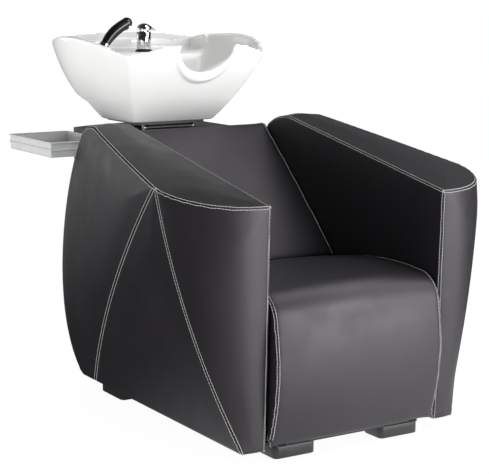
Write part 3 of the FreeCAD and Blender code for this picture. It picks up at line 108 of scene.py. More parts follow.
def arc_through(start: Vector, middle: Vector, end: Vector, count: int = 24) -> list[Vector]:
    """Points on the circle arc through three points.

    Args:
        start: First point.
        middle: A point on the arc between the ends.
        end: Last point.
        count: Number of steps.

    Returns:
        The points, both ends included.
    """
    first, last = middle - start, end - start
    normal = first.cross(last)
    lead = normal.cross(first) * last.length_squared + last.cross(normal) * first.length_squared
    centre = start + lead / (2 * normal.length_squared)
    across = start - centre
    along = normal.normalized().cross(across)
    turn = math.atan2((end - centre).dot(along), (end - centre).dot(across)) % math.tau
    return [centre + across * math.cos(turn * i / count) + along * math.sin(turn * i / count)
            for i in range(count + 1)]


def resampled(points: Sequence[Vector], step: float) -> list[Vector]:
    """The same line with evenly spaced points.

    Args:
        points: The line's points.
        step: Wanted spacing.

    Returns:
        Points about one step apart, both ends included.
    """
    coords = np.array([tuple(p) for p in points])
    reach = np.concatenate([[0.0], np.cumsum(np.linalg.norm(np.diff(coords, axis=0), axis=1))])
    count = max(2, int(round(reach[-1] / step)) + 1)
    marks = np.linspace(0.0, reach[-1], count)
    return [Vector(p) for p in np.stack([np.interp(marks, reach, coords[:, k]) for k in range(3)], axis=1)]


def new_piece(name: str, mesh: bpy.types.Mesh) -> bpy.types.Object:
    """Links a mesh into the scene under its piece's name.

    Args:
        name: The piece's name.
        mesh: Its mesh.

    Returns:
        The piece.
    """
    mesh.name = name
    piece = bpy.data.objects.new(name, mesh)
    bpy.context.scene.collection.objects.link(piece)
    return piece


def plain_mesh(shape: bmesh.types.BMesh, name: str) -> bpy.types.Mesh:
    """Turns an edited shape into a mesh.

    Args:
        shape: The edited shape, which is freed.
        name: Name of the mesh.

    Returns:
        The mesh.
    """
    mesh = bpy.data.meshes.new(name)
    shape.to_mesh(mesh)
    shape.free()
    return mesh


def absorb(shape: bmesh.types.BMesh, mesh: bpy.types.Mesh) -> None:
    """Adds a mesh to a shape and drops the mesh."""
    shape.from_mesh(mesh)
    bpy.data.meshes.remove(mesh)


def mesh_from(shape: bmesh.types.BMesh, name: str, smooth_angle: float = 40.0) -> bpy.types.Mesh:
    """Turns an edited shape into a smooth-shaded mesh that keeps its crisp edges.

    Args:
        shape: The edited shape, which is freed.
        name: Name of the mesh.
        smooth_angle: Edges sharper than this many degrees stay crisp.

    Returns:
        The mesh.
    """
    bmesh.ops.recalc_face_normals(shape, faces=shape.faces)
    mesh = plain_mesh(shape, name)
    smooth(mesh, smooth_angle)
    return mesh


def smooth(mesh: bpy.types.Mesh, angle: float = 180.0) -> None:
    """Shades a mesh smooth up to an angle in degrees."""
    mesh.polygons.foreach_set("use_smooth", [True] * len(mesh.polygons))
    mesh.set_sharp_from_angle(angle=math.radians(angle))


def node_shape(node: str) -> bmesh.types.BMesh:
    """An editable copy of a node's solid, with its loose triangles joined.

    Args:
        node: The node's name.

    Returns:
        The joined copy.
    """
    shape = bmesh.new()
    shape.from_mesh(frame["nodes"][node].data)
    bmesh.ops.remove_doubles(shape, verts=shape.verts, dist=WELD)
    return shape


def add_box(shape: bmesh.types.BMesh, low: Vector, high: Vector) -> None:
    """Adds a closed box to a shape."""
    made = bmesh.ops.create_cube(shape, size=1.0)
    for vert in made["verts"]:
        vert.co = Vector((low[k] + (high[k] - low[k]) * (vert.co[k] + 0.5) for k in range(3)))


def with_modifiers(mesh: bpy.types.Mesh, *modifiers: tuple[str, dict], weight: np.ndarray | None = None
                   ) -> bpy.types.Mesh:
    """Runs modifiers on a mesh and returns the plain result.

    Args:
        mesh: The mesh to change, which is used up.
        modifiers: Pairs of a modifier's kind and its settings, in order.
        weight: Share of the change at each point, for modifiers that name the group called share.

    Returns:
        The changed mesh.
    """
    holder = bpy.data.objects.new("holder", mesh)
    bpy.context.scene.collection.objects.link(holder)
    if weight is not None:
        group = holder.vertex_groups.new(name="share")
        levels = np.round(np.clip(weight, 0, 1) * SHARE_STEPS).astype(int)
        for level in np.unique(levels):
            group.add(np.flatnonzero(levels == level).tolist(), float(level) / SHARE_STEPS, "REPLACE")
    for kind, settings in modifiers:
        modifier = holder.modifiers.new(kind.lower(), kind)
        for key, value in settings.items():
            setattr(modifier, key, value)
    graph = bpy.context.evaluated_depsgraph_get()
    result = bpy.data.meshes.new_from_object(holder.evaluated_get(graph))
    bpy.data.objects.remove(holder)
    bpy.data.meshes.remove(mesh)
    return result


def calmed(mesh: bpy.types.Mesh, rounds: int, weight: np.ndarray | None = None) -> bpy.types.Mesh:
    """A mesh with its points drawn towards their neighbours.

    Args:
        mesh: The mesh, which is used up.
        rounds: Number of rounds.
        weight: Share of the change at each point.

    Returns:
        The calmer mesh.
    """
    settings = {"factor": 0.5, "iterations": rounds}
    if weight is not None:
        settings["vertex_group"] = "share"
    return with_modifiers(mesh, ("SMOOTH", settings), weight=weight)


def remeshed(shape: bmesh.types.BMesh, cell: float, rounds: int) -> bpy.types.Mesh:
    """A closed form as an even skin with softened edges.

    Args:
        shape: The closed form, which is freed.
        cell: Size of the skin's cells.
        rounds: Number of smoothing rounds.

    Returns:
        The skin.
    """
    voxels = ("REMESH", {"mode": "VOXEL", "voxel_size": cell, "adaptivity": 0.0})
    result = calmed(with_modifiers(plain_mesh(shape, "form"), voxels), rounds)
    smooth(result)
    return result


def coordinates(mesh: bpy.types.Mesh) -> np.ndarray:
    """The mesh's points as rows."""
    flat = np.empty(len(mesh.vertices) * 3, np.float32)
    mesh.vertices.foreach_get("co", flat)
    return flat.reshape(-1, 3).astype(float)


def set_coordinates(mesh: bpy.types.Mesh, points: np.ndarray) -> None:
    """Moves the mesh's points."""
    mesh.vertices.foreach_set("co", points.astype(np.float32).ravel())
    mesh.update()


def normals(mesh: bpy.types.Mesh) -> np.ndarray:
    """The mesh's normals at its points, as rows."""
    flat = np.empty(len(mesh.vertices) * 3, np.float32)
    mesh.vertex_normals.foreach_get("vector", flat)
    return flat.reshape(-1, 3).astype(float)


def point_tree(points: Sequence[Vector] | np.ndarray) -> KDTree:
    """Puts points in a tree that finds the nearest ones.

    Args:
        points: The points.

    Returns:
        The tree.
    """
    tree = KDTree(len(points))
    for index, point in enumerate(points):
        tree.insert(point, index)
    tree.balance()
    return tree


def skin_tree(mesh: bpy.types.Mesh) -> BVHTree:
    """Puts a mesh's faces in a tree that finds the nearest spot.

    Args:
        mesh: The mesh.

    Returns:
        The tree.
    """
    shape = bmesh.new()
    shape.from_mesh(mesh)
    tree = BVHTree.FromBMesh(shape)
    shape.free()
    return tree


def distances(points: np.ndarray, lines: Iterable[Sequence[Vector]], step: float = 0.003) -> np.ndarray:
    """How far each point lies from the nearest of some lines.

    Args:
        points: The points, as rows.
        lines: The lines.
        step: Spacing of the marks on the lines that are measured to.

    Returns:
        A distance for each point.
    """
    tree = point_tree([mark for line in lines for mark in resampled(line, step)])
    return np.array([tree.find(point)[2] for point in points])


def lofted(rings: Sequence[Sequence[Vector]], name: str, smooth_angle: float = 40.0) -> bpy.types.Mesh:
    """A closed skin over rings of equally many points, capped at both ends.

    Args:
        rings: Closed rings, from one end to the other.
        name: Name of the mesh.
        smooth_angle: Edges sharper than this many degrees stay crisp.

    Returns:
        The skin.
    """
    shape = bmesh.new()
    rows = [[shape.verts.new(p) for p in ring] for ring in rings]
    count = len(rings[0])
    for low, high in zip(rows, rows[1:]):
        for i in range(count):
            j = (i + 1) % count
            shape.faces.new((low[i], low[j], high[j], high[i]))
    shape.faces.new(rows[0])
    shape.faces.new(rows[-1])
    return mesh_from(shape, name, smooth_angle)


def circle(centre: Vector, axis: Vector, radius: float, count: int = 48) -> list[Vector]:
    """A ring of points round an axis."""
    turn = Vector((0, 0, 1)).rotation_difference(axis)
    angles = [math.tau * i / count for i in range(count)]
    return [centre + turn @ Vector((math.cos(angle), math.sin(angle), 0)) * radius for angle in angles]


def turned(profile: Sequence[tuple[float, float]], base: Vector, axis: Vector, name: str) -> bpy.types.Mesh:
    """A turned piece.

    Args:
        profile: Pairs of radius and distance along the axis.
        base: Where the distance is zero.
        axis: Direction of the axis.
        name: Name of the mesh.

    Returns:
        The closed skin.
    """
    rings = [circle(base + axis * rise, axis, radius) for radius, rise in profile]
    return lofted(rings, name, smooth_angle=50.0)


def rounded_ring(low: Vector, high: Vector, corner: float, height: float, steps: int = 6) -> list[Vector]:
    """A level rectangle with rounded corners.

    Args:
        low: Corner with the lowest X and Y.
        high: Corner with the highest X and Y.
        corner: Corner radius.
        height: Its height.
        steps: Steps in each corner.

    Returns:
        The ring's points.
    """
    centres = [(high.x - corner, high.y - corner), (low.x + corner, high.y - corner),
               (low.x + corner, low.y + corner), (high.x - corner, low.y + corner)]
    ring = []
    for quarter, (x, y) in enumerate(centres):
        for step in range(steps + 1):
            angle = math.pi / 2 * (quarter + step / steps)
            ring.append(Vector((x + corner * math.cos(angle), y + corner * math.sin(angle), height)))
    return ring


# Finishes

def linear(value: float) -> float:
    """A display value from 0 to 1 as light."""
    return value / 12.92 if value <= 0.04045 else ((value + 0.055) / 1.055) ** 2.4


def colour(red: float, green: float, blue: float) -> tuple[float, float, float, float]:
    """A display colour, each channel from 0 to 255, as light."""
    return linear(red / 255), linear(green / 255), linear(blue / 255), 1.0


class Shader:
    """A material's nodes, with short calls for the patterns that the finishes use."""

    def __init__(self, name: str) -> None:
        """Starts a material with a plain surface shader.

        Args:
            name: Name of the material.
        """
        self.material = bpy.data.materials.new(name)
        self.material.use_nodes = True
        self.nodes = self.material.node_tree.nodes
        self.surface = self.nodes["Principled BSDF"]
        self.place = self.nodes.new("ShaderNodeTexCoord").outputs["Object"]

    def link(self, start: bpy.types.NodeSocket, end: bpy.types.NodeSocket) -> None:
        """Joins two sockets."""
        self.material.node_tree.links.new(start, end)

    def set(self, **values: object) -> None:
        """Sets the surface's sockets by name, with underscores for spaces."""
        for key, value in values.items():
            self.surface.inputs[key.replace("_", " ")].default_value = value

    def stretched(self, scale: tuple[float, float, float]) -> bpy.types.NodeSocket:
        """The place on the piece, stretched along its axes.

        Args:
            scale: Stretch along X, Y and Z.

        Returns:
            The stretched place.
        """
        mapping = self.nodes.new("ShaderNodeMapping")
        mapping.inputs["Scale"].default_value = scale
        self.link(self.place, mapping.inputs["Vector"])
        return mapping.outputs["Vector"]

    def noise(self, scale: float, detail: float = 3.0, place: bpy.types.NodeSocket | None = None
              ) -> bpy.types.NodeSocket:
        """A cloudy pattern.

        Args:
            scale: Clouds in a metre.
            detail: Levels of finer clouds.
            place: Where it is read, or the piece's own place.

        Returns:
            The pattern's value.
        """
        node = self.nodes.new("ShaderNodeTexNoise")
        node.inputs["Scale"].default_value = scale
        node.inputs["Detail"].default_value = detail
        self.link(place or self.place, node.inputs["Vector"])
        return node.outputs["Fac"]

    def cells(self, scale: float) -> bpy.types.NodeSocket:
        """A pebbled pattern.

        Args:
            scale: Pebbles in a metre.

        Returns:
            The pattern's value.
        """
        node = self.nodes.new("ShaderNodeTexVoronoi")
        node.feature = "SMOOTH_F1"
        node.inputs["Scale"].default_value = scale
        self.link(self.place, node.inputs["Vector"])
        return node.outputs["Distance"]

    def spread(self, value: bpy.types.NodeSocket, low: float, high: float) -> bpy.types.NodeSocket:
        """A cloudy pattern stretched to a range of numbers.

        Args:
            value: The pattern.
            low: Lowest number.
            high: Highest number.

        Returns:
            The stretched pattern's value.
        """
        node = self.nodes.new("ShaderNodeMapRange")
        node.inputs["From Min"].default_value, node.inputs["From Max"].default_value = CLOUD_RANGE
        node.inputs["To Min"].default_value = low
        node.inputs["To Max"].default_value = high
        self.link(value, node.inputs["Value"])
        return node.outputs["Result"]

    def tint(self, value: bpy.types.NodeSocket, low: Sequence[float], high: Sequence[float]) -> None:
        """Colours the surface between two colours by a pattern.

        Args:
            value: The pattern.
            low: Colour where it is low.
            high: Colour where it is high.
        """
        node = self.nodes.new("ShaderNodeValToRGB")
        for element, position, shade in zip(node.color_ramp.elements, CLOUD_RANGE, (low, high)):
            element.position = position
            element.color = shade
        self.link(value, node.inputs["Fac"])
        self.link(node.outputs["Color"], self.surface.inputs["Base Color"])

    def roughen(self, value: bpy.types.NodeSocket, low: float, high: float) -> None:
        """Sets the roughness between two numbers by a pattern."""
        self.link(self.spread(value, low, high), self.surface.inputs["Roughness"])

    def emboss(self, value: bpy.types.NodeSocket, depth: float, strength: float = 1.0) -> None:
        """Presses a pattern into the surface, over what is already pressed in.

        Args:
            value: The pattern.
            depth: Its depth in metres.
            strength: How strongly it shows.
        """
        node = self.nodes.new("ShaderNodeBump")
        node.inputs["Distance"].default_value = depth
        node.inputs["Strength"].default_value = strength
        self.link(value, node.inputs["Height"])
        normal = self.surface.inputs["Normal"]
        if normal.links:
            self.link(normal.links[0].from_socket, node.inputs["Normal"])
        self.link(node.outputs["Normal"], normal)


@dataclass(frozen=True)
class Finish:
    """A finish: two close colours that it clouds between, its gloss and its grain.

    Attributes:
        name: Name of the material.
        dark: Darker colour, display channels from 0 to 255.
        light: Lighter colour.
        gloss: Least and greatest roughness.
        metal: 1 for bare metal, 0 for the rest.
        coat: Strength of a clear coat.
        clouds: Clouds of colour in a metre.
        gloss_clouds: Clouds of gloss for each cloud of colour.
        grain: Bumps of the grain in a metre.
        grain_depth: Depth of the grain in metres.
        stretch: Stretch of the pattern along X, Y and Z.
    """

    name: str
    dark: tuple[float, float, float]
    light: tuple[float, float, float]
    gloss: tuple[float, float]
    metal: float = 0.0
    coat: float = 0.0
    clouds: float = 14.0
    gloss_clouds: float = 3.0
    grain: float = 600.0
    grain_depth: float = 0.00005
    stretch: tuple[float, float, float] = (1.0, 1.0, 1.0)

    def make(self) -> bpy.types.Material:
        """Makes the finish, once.

        Returns:
            Its material.
        """
        known = bpy.data.materials.get(self.name)
        if known:
            return known
        shader = Shader(self.name)
        place = shader.stretched(self.stretch)
        tones = shader.noise(self.clouds, detail=4.0, place=place)
        shader.tint(tones, colour(*self.dark), colour(*self.light))
        shader.roughen(shader.noise(self.clouds * self.gloss_clouds, place=place), *self.gloss)
        shader.emboss(shader.noise(self.grain, detail=2.0, place=place), self.grain_depth)
        shader.set(Metallic=self.metal, Coat_Weight=self.coat, Coat_Roughness=0.05)
        self.detail(shader)
        return shader.material

    def detail(self, shader: Shader) -> None:
        """Adds what a special finish has beyond colour, gloss and grain."""


@dataclass(frozen=True)
class Leather(Finish):
    """Smooth coated leather with a fine pebble.

    Attributes:
        pebbles: Pebbles in a metre.
        pebble_depth: Depth of the pebble in metres.
        pebble_strength: How strongly the pebble shows.
        mirror_tint: Colour of its reflections.
    """

    pebbles: float = 520.0
    pebble_depth: float = 0.00022
    pebble_strength: float = 0.55
    mirror_tint: tuple[float, float, float, float] = (0.97, 0.92, 1.0, 1.0)

    def detail(self, shader: Shader) -> None:
        """Presses the pebble in and tints the reflections."""
        shader.emboss(shader.cells(self.pebbles), self.pebble_depth, self.pebble_strength)
        shader.set(Specular_Tint=self.mirror_tint)


class Finishes(Enum):
    """Every finish on the unit."""

    LEATHER = Leather("coated_leather", (28, 26, 29), (33, 31, 34), (0.42, 0.50), clouds=5.0, grain=1500.0)
    THREAD = Finish("pale_thread", (150, 148, 147), (182, 180, 178), (0.6, 0.75), clouds=300.0, grain=2500.0)
    # Seam folds: darker than the leather, painted shade of the seams' grooves
    SEAM = Finish("shaded_seam_fold", (22, 22, 23), (30, 30, 31), (0.55, 0.7), clouds=60.0)
    GLAZE = Finish("gloss_glaze", (236, 236, 235), (241, 241, 240), (0.07, 0.13), coat=0.4, clouds=6.0,
                   grain=60.0, grain_depth=0.00004)
    CHROME = Finish("polished_chrome", (214, 216, 219), (226, 228, 230), (0.04, 0.09), metal=1.0, clouds=40.0)
    BLACK_GLOSS = Finish("black_gloss_plastic", (12, 12, 13), (19, 19, 20), (0.16, 0.26), coat=0.3,
                         clouds=60.0)
    BLACK_COVER = Finish("black_moulded_cover", (15, 15, 16), (23, 23, 24), (0.38, 0.5), clouds=20.0,
                         grain=900.0, grain_depth=0.0001)
    FEET = Finish("dark_grey_feet", (30, 30, 32), (38, 38, 40), (0.28, 0.4), clouds=30.0, grain=700.0)
    TRAY = Finish("pale_tray_plastic", (188, 189, 190), (197, 198, 199), (0.32, 0.42), clouds=16.0,
                  grain=800.0)
    PAINTED = Finish("black_painted_steel", (14, 14, 15), (21, 21, 22), (0.3, 0.42), clouds=50.0, grain=350.0)
    ZINC = Finish("plated_steel", (170, 172, 174), (196, 198, 200), (0.28, 0.42), metal=1.0, clouds=120.0)
    BRASS = Finish("turned_brass", (184, 146, 84), (206, 170, 104), (0.2, 0.32), metal=1.0, clouds=90.0)
    RUBBER = Finish("soft_rubber", (16, 16, 16), (26, 26, 26), (0.65, 0.8), clouds=80.0, grain=900.0)
    GREY_PLASTIC = Finish("grey_plumbing_plastic", (138, 140, 142), (152, 154, 156), (0.4, 0.5), clouds=30.0)
    # Near-black plywood: painted shade, so the boards seen in the gaps beside the cushions read as the shade
    # there
    STAINED = Finish("plywood_painted_shade", (13, 13, 13), (21, 20, 19), (0.6, 0.75), clouds=9.0,
                     grain=400.0, grain_depth=0.0002, stretch=(6.0, 0.6, 1.0))

    def material(self) -> bpy.types.Material:
        """The finish as a material."""
        return self.value.make()


SLOT_FINISHES = {
    "charcoal_leather": Finishes.LEATHER,
    # Every board takes the near-black plywood, painted shade in the gaps
    "plywood": Finishes.STAINED,
    "black_board": Finishes.STAINED,
    "black_steel": Finishes.PAINTED,
    "zinc_steel": Finishes.ZINC,
    "grey_feet": Finishes.FEET,
    "black_cover": Finishes.BLACK_COVER,
    "white_glaze": Finishes.GLAZE,
    "black_rubber": Finishes.RUBBER,
    "chrome": Finishes.CHROME,
    "grey_plastic": Finishes.GREY_PLASTIC,
    "brass": Finishes.BRASS,
    "black_gloss": Finishes.BLACK_GLOSS,
    "pale_plastic": Finishes.TRAY,
}


def dress_nodes() -> None:
    """Gives every solid the finish of its record's slot."""
    for part in frame["record"]["subparts"]:
        mesh = frame["nodes"][part["node"]].data
        mesh.materials.clear()
        mesh.materials.append(SLOT_FINISHES[part["material_slot"]].material())


def finish_piece(piece: bpy.types.Object, finish: Finishes, body: Body, slot: str, *nodes: str) -> None:
    """Dresses a piece, puts it on its body and lets it stand for its nodes.

    Args:
        piece: The piece.
        finish: Its finish.
        body: The body that it rides on.
        slot: The record's slot; not used.
        nodes: Nodes that it stands for.
    """
    if not piece.data.materials:
        piece.data.materials.append(finish.material())
    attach(piece, body.value)
    if nodes:
        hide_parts(*nodes)
    LOG.info("%s: %d faces on %s", piece.name, len(piece.data.polygons), body.value)


# Sewing

@dataclass
class Sewing:
    """Rows of stitches and folded seams along lines on a skin.

    Attributes:
        row_gap: Distance between the two rows of a seam.
        pitch: Distance from stitch to stitch.
        stitch: Length of a stitch.
        thread: Half the thread's thickness.
        fold: Half the thickness of a seam's fold, coloured darker than the leather as painted shade of the
            groove.
        reach: How far round a seam the skin's direction is averaged.
        step: Spacing of the marks that a seam is laid by.
        bead: Steps round a stitch and along it.
        fold_steps: Steps round a fold.
    """

    row_gap: float = 0.0100
    pitch: float = 0.0085
    stitch: float = 0.0098
    thread: float = 0.0009
    fold: float = 0.0008
    reach: float = 0.014
    step: float = 0.005
    bead: tuple[int, int] = (6, 5)
    fold_steps: int = 8

    def stitch_tree(self) -> bpy.types.NodeTree:
        """Nodes that set a stitch at every pitch along each line.

        Returns:
            The tree, made once.
        """
        tree = bpy.data.node_groups.get("stitch_rows")
        if tree:
            return tree
        tree = bpy.data.node_groups.new("stitch_rows", "GeometryNodeTree")
        tree.interface.new_socket("Lines", in_out="INPUT", socket_type="NodeSocketGeometry")
        for label in ("Pitch", "Stitch Length", "Thread Radius"):
            tree.interface.new_socket(label, in_out="INPUT", socket_type="NodeSocketFloat")
        tree.interface.new_socket("Thread", in_out="INPUT", socket_type="NodeSocketMaterial")
        tree.interface.new_socket("Stitches", in_out="OUTPUT", socket_type="NodeSocketGeometry")
        add = tree.nodes.new
        start, end = add("NodeGroupInput"), add("NodeGroupOutput")
        curve, spaced = add("GeometryNodeMeshToCurve"), add("GeometryNodeResampleCurve")
        spaced.mode = "LENGTH"
        tangent, turn = add("GeometryNodeInputTangent"), add("FunctionNodeAlignRotationToVector")
        turn.axis = "Z"
        bead, scale = add("GeometryNodeMeshUVSphere"), add("ShaderNodeCombineXYZ")
        bead.inputs["Segments"].default_value, bead.inputs["Rings"].default_value = self.bead
        bead.inputs["Radius"].default_value = 1.0
        half = add("ShaderNodeMath")
        half.operation = "MULTIPLY"
        half.inputs[1].default_value = 0.5
        copies, real = add("GeometryNodeInstanceOnPoints"), add("GeometryNodeRealizeInstances")
        dressed = add("GeometryNodeSetMaterial")
        link = tree.links.new
        link(start.outputs["Lines"], curve.inputs["Mesh"])
        link(curve.outputs["Curve"], spaced.inputs["Curve"])
        link(start.outputs["Pitch"], spaced.inputs["Length"])
        link(tangent.outputs["Tangent"], turn.inputs["Vector"])
        link(start.outputs["Stitch Length"], half.inputs[0])
        link(start.outputs["Thread Radius"], scale.inputs["X"])
        link(start.outputs["Thread Radius"], scale.inputs["Y"])
        link(half.outputs["Value"], scale.inputs["Z"])
        link(spaced.outputs["Curve"], copies.inputs["Points"])
        link(bead.outputs["Mesh"], copies.inputs["Instance"])
        link(turn.outputs["Rotation"], copies.inputs["Rotation"])
        link(scale.outputs["Vector"], copies.inputs["Scale"])
        link(copies.outputs["Instances"], real.inputs["Geometry"])
        link(real.outputs["Geometry"], dressed.inputs["Geometry"])
        link(start.outputs["Thread"], dressed.inputs["Material"])
        link(dressed.outputs["Geometry"], end.inputs["Stitches"])
        return tree

    def fold_tree(self) -> bpy.types.NodeTree:
        """Nodes that lay a thin round fold along each line.

        Returns:
            The tree, made once.
        """
        tree = bpy.data.node_groups.get("seam_folds")
        if tree:
            return tree
        tree = bpy.data.node_groups.new("seam_folds", "GeometryNodeTree")
        tree.interface.new_socket("Lines", in_out="INPUT", socket_type="NodeSocketGeometry")
        tree.interface.new_socket("Fold Radius", in_out="INPUT", socket_type="NodeSocketFloat")
        tree.interface.new_socket("Leather", in_out="INPUT", socket_type="NodeSocketMaterial")
        tree.interface.new_socket("Folds", in_out="OUTPUT", socket_type="NodeSocketGeometry")
        add = tree.nodes.new
        start, end = add("NodeGroupInput"), add("NodeGroupOutput")
        curve, ring = add("GeometryNodeMeshToCurve"), add("GeometryNodeCurvePrimitiveCircle")
        ring.inputs["Resolution"].default_value = self.fold_steps
        skin, real = add("GeometryNodeCurveToMesh"), add("GeometryNodeRealizeInstances")
        dressed = add("GeometryNodeSetMaterial")
        skin.inputs["Fill Caps"].default_value = True
        link = tree.links.new
        link(start.outputs["Lines"], curve.inputs["Mesh"])
        link(start.outputs["Fold Radius"], ring.inputs["Radius"])
        link(curve.outputs["Curve"], skin.inputs["Curve"])
        link(ring.outputs["Curve"], skin.inputs["Profile Curve"])
        link(skin.outputs["Mesh"], real.inputs["Geometry"])
        link(real.outputs["Geometry"], dressed.inputs["Geometry"])
        link(start.outputs["Leather"], dressed.inputs["Material"])
        link(dressed.outputs["Geometry"], end.inputs["Folds"])
        return tree

    def grown(self, name: str, lines: Sequence[Sequence[Vector]], tree: bpy.types.NodeTree,
              values: dict[str, object]) -> bpy.types.Object:
        """Lines turned into a plain mesh by a tree.

        Args:
            name: Name of the piece.
            lines: The lines.
            tree: The tree.
            values: The tree's inputs by name.

        Returns:
            The piece.
        """
        mesh = bpy.data.meshes.new(name + "_lines")
        points = [p for line in lines for p in line]
        edges = []
        first = 0
        for line in lines:
            edges.extend((first + i, first + i + 1) for i in range(len(line) - 1))
            first += len(line)
        mesh.from_pydata(points, edges, [])
        holder = bpy.data.objects.new(name + "_holder", mesh)
        bpy.context.scene.collection.objects.link(holder)
        modifier = holder.modifiers.new("rule", "NODES")
        modifier.node_group = tree
        for item in tree.interface.items_tree:
            if item.in_out == "INPUT" and item.name in values:
                modifier[item.identifier] = values[item.name]
        graph = bpy.context.evaluated_depsgraph_get()
        made = bpy.data.meshes.new_from_object(holder.evaluated_get(graph))
        bpy.data.objects.remove(holder)
        smooth(made)
        return new_piece(name, made)

    def laid(self, skin: bpy.types.Mesh, lines: Sequence[Sequence[Vector]], offsets: Sequence[float],
             lift: float) -> list[list[Vector]]:
        """Lines laid on a skin, beside the given ones.

        Args:
            skin: The skin.
            lines: The lines.
            offsets: Distances to the side, one for each row.
            lift: Height above the skin.

        Returns:
            One line for each line and offset.
        """
        faces, tree, outward = skin_tree(skin), point_tree(coordinates(skin)), normals(skin)
        rows = []
        for line in lines:
            marks = resampled(line, self.step)
            for offset in offsets:
                row = []
                for i, mark in enumerate(marks):
                    along = (marks[min(i + 1, len(marks) - 1)] - marks[max(i - 1, 0)]).normalized()
                    near = [index for _, index, _ in tree.find_range(mark, self.reach)]
                    face = Vector(outward[near].mean(axis=0)) if near else faces.find_nearest(mark)[1]
                    spot = mark + along.cross(face.normalized()) * offset
                    hit, normal, _, _ = faces.find_nearest(spot)
                    row.append(hit + normal * lift)
                rows.append(row)
        return rows

    def sew(self, name: str, skin: bpy.types.Mesh, double: Sequence[Sequence[Vector]],
            single: Sequence[Sequence[Vector]], body: Body) -> None:
        """Sews a skin along its seams.

        Args:
            name: Start of the pieces' names.
            skin: The skin.
            double: Seams with a row on each side.
            single: Seams with one row.
            body: The body that the skin rides on.
        """
        rows = self.laid(skin, double, (-self.row_gap / 2, self.row_gap / 2), self.thread / 2)
        rows += self.laid(skin, single, (0.0,), self.thread / 2)
        stitches = self.grown(name + "_stitches", rows, self.stitch_tree(), {
            "Pitch": self.pitch, "Stitch Length": self.stitch, "Thread Radius": self.thread,
            "Thread": Finishes.THREAD.material()})
        finish_piece(stitches, Finishes.THREAD, body, "charcoal_leather")
        if double:
            # The folds take the darker seam finish, painted shade in the grooves
            folds = self.grown(name + "_seams", self.laid(skin, double, (0.0,), 0.0), self.fold_tree(), {
                "Fold Radius": self.fold, "Leather": Finishes.SEAM.material()})
            finish_piece(folds, Finishes.SEAM, body, "charcoal_leather")


SEWING = Sewing()

# How far from a seam a panel reaches its full swelling, half the width of a seam's groove, and its depth
CROWN_REACH = 0.05
GROOVE_REACH = 0.006
GROOVE = 0.0016


def padded_out(mesh: bpy.types.Mesh, lines: Sequence[Sequence[Vector]], crown: float = 0.0,
               weight: np.ndarray | None = None) -> None:
    """Swells a skin between its seams and draws it in along them.

    Args:
        mesh: The skin.
        lines: Its seams.
        crown: Swelling far from a seam.
        weight: Share of the swelling at each point.
    """
    points, outward = coordinates(mesh), normals(mesh)
    away = distances(points, lines)
    swell = crown * (1 - np.exp(-(away / CROWN_REACH) ** 2))
    if weight is not None:
        swell = swell * weight
    swell -= GROOVE * np.exp(-(away / GROOVE_REACH) ** 2)
    set_coordinates(mesh, points + outward * swell[:, None])


# Arms

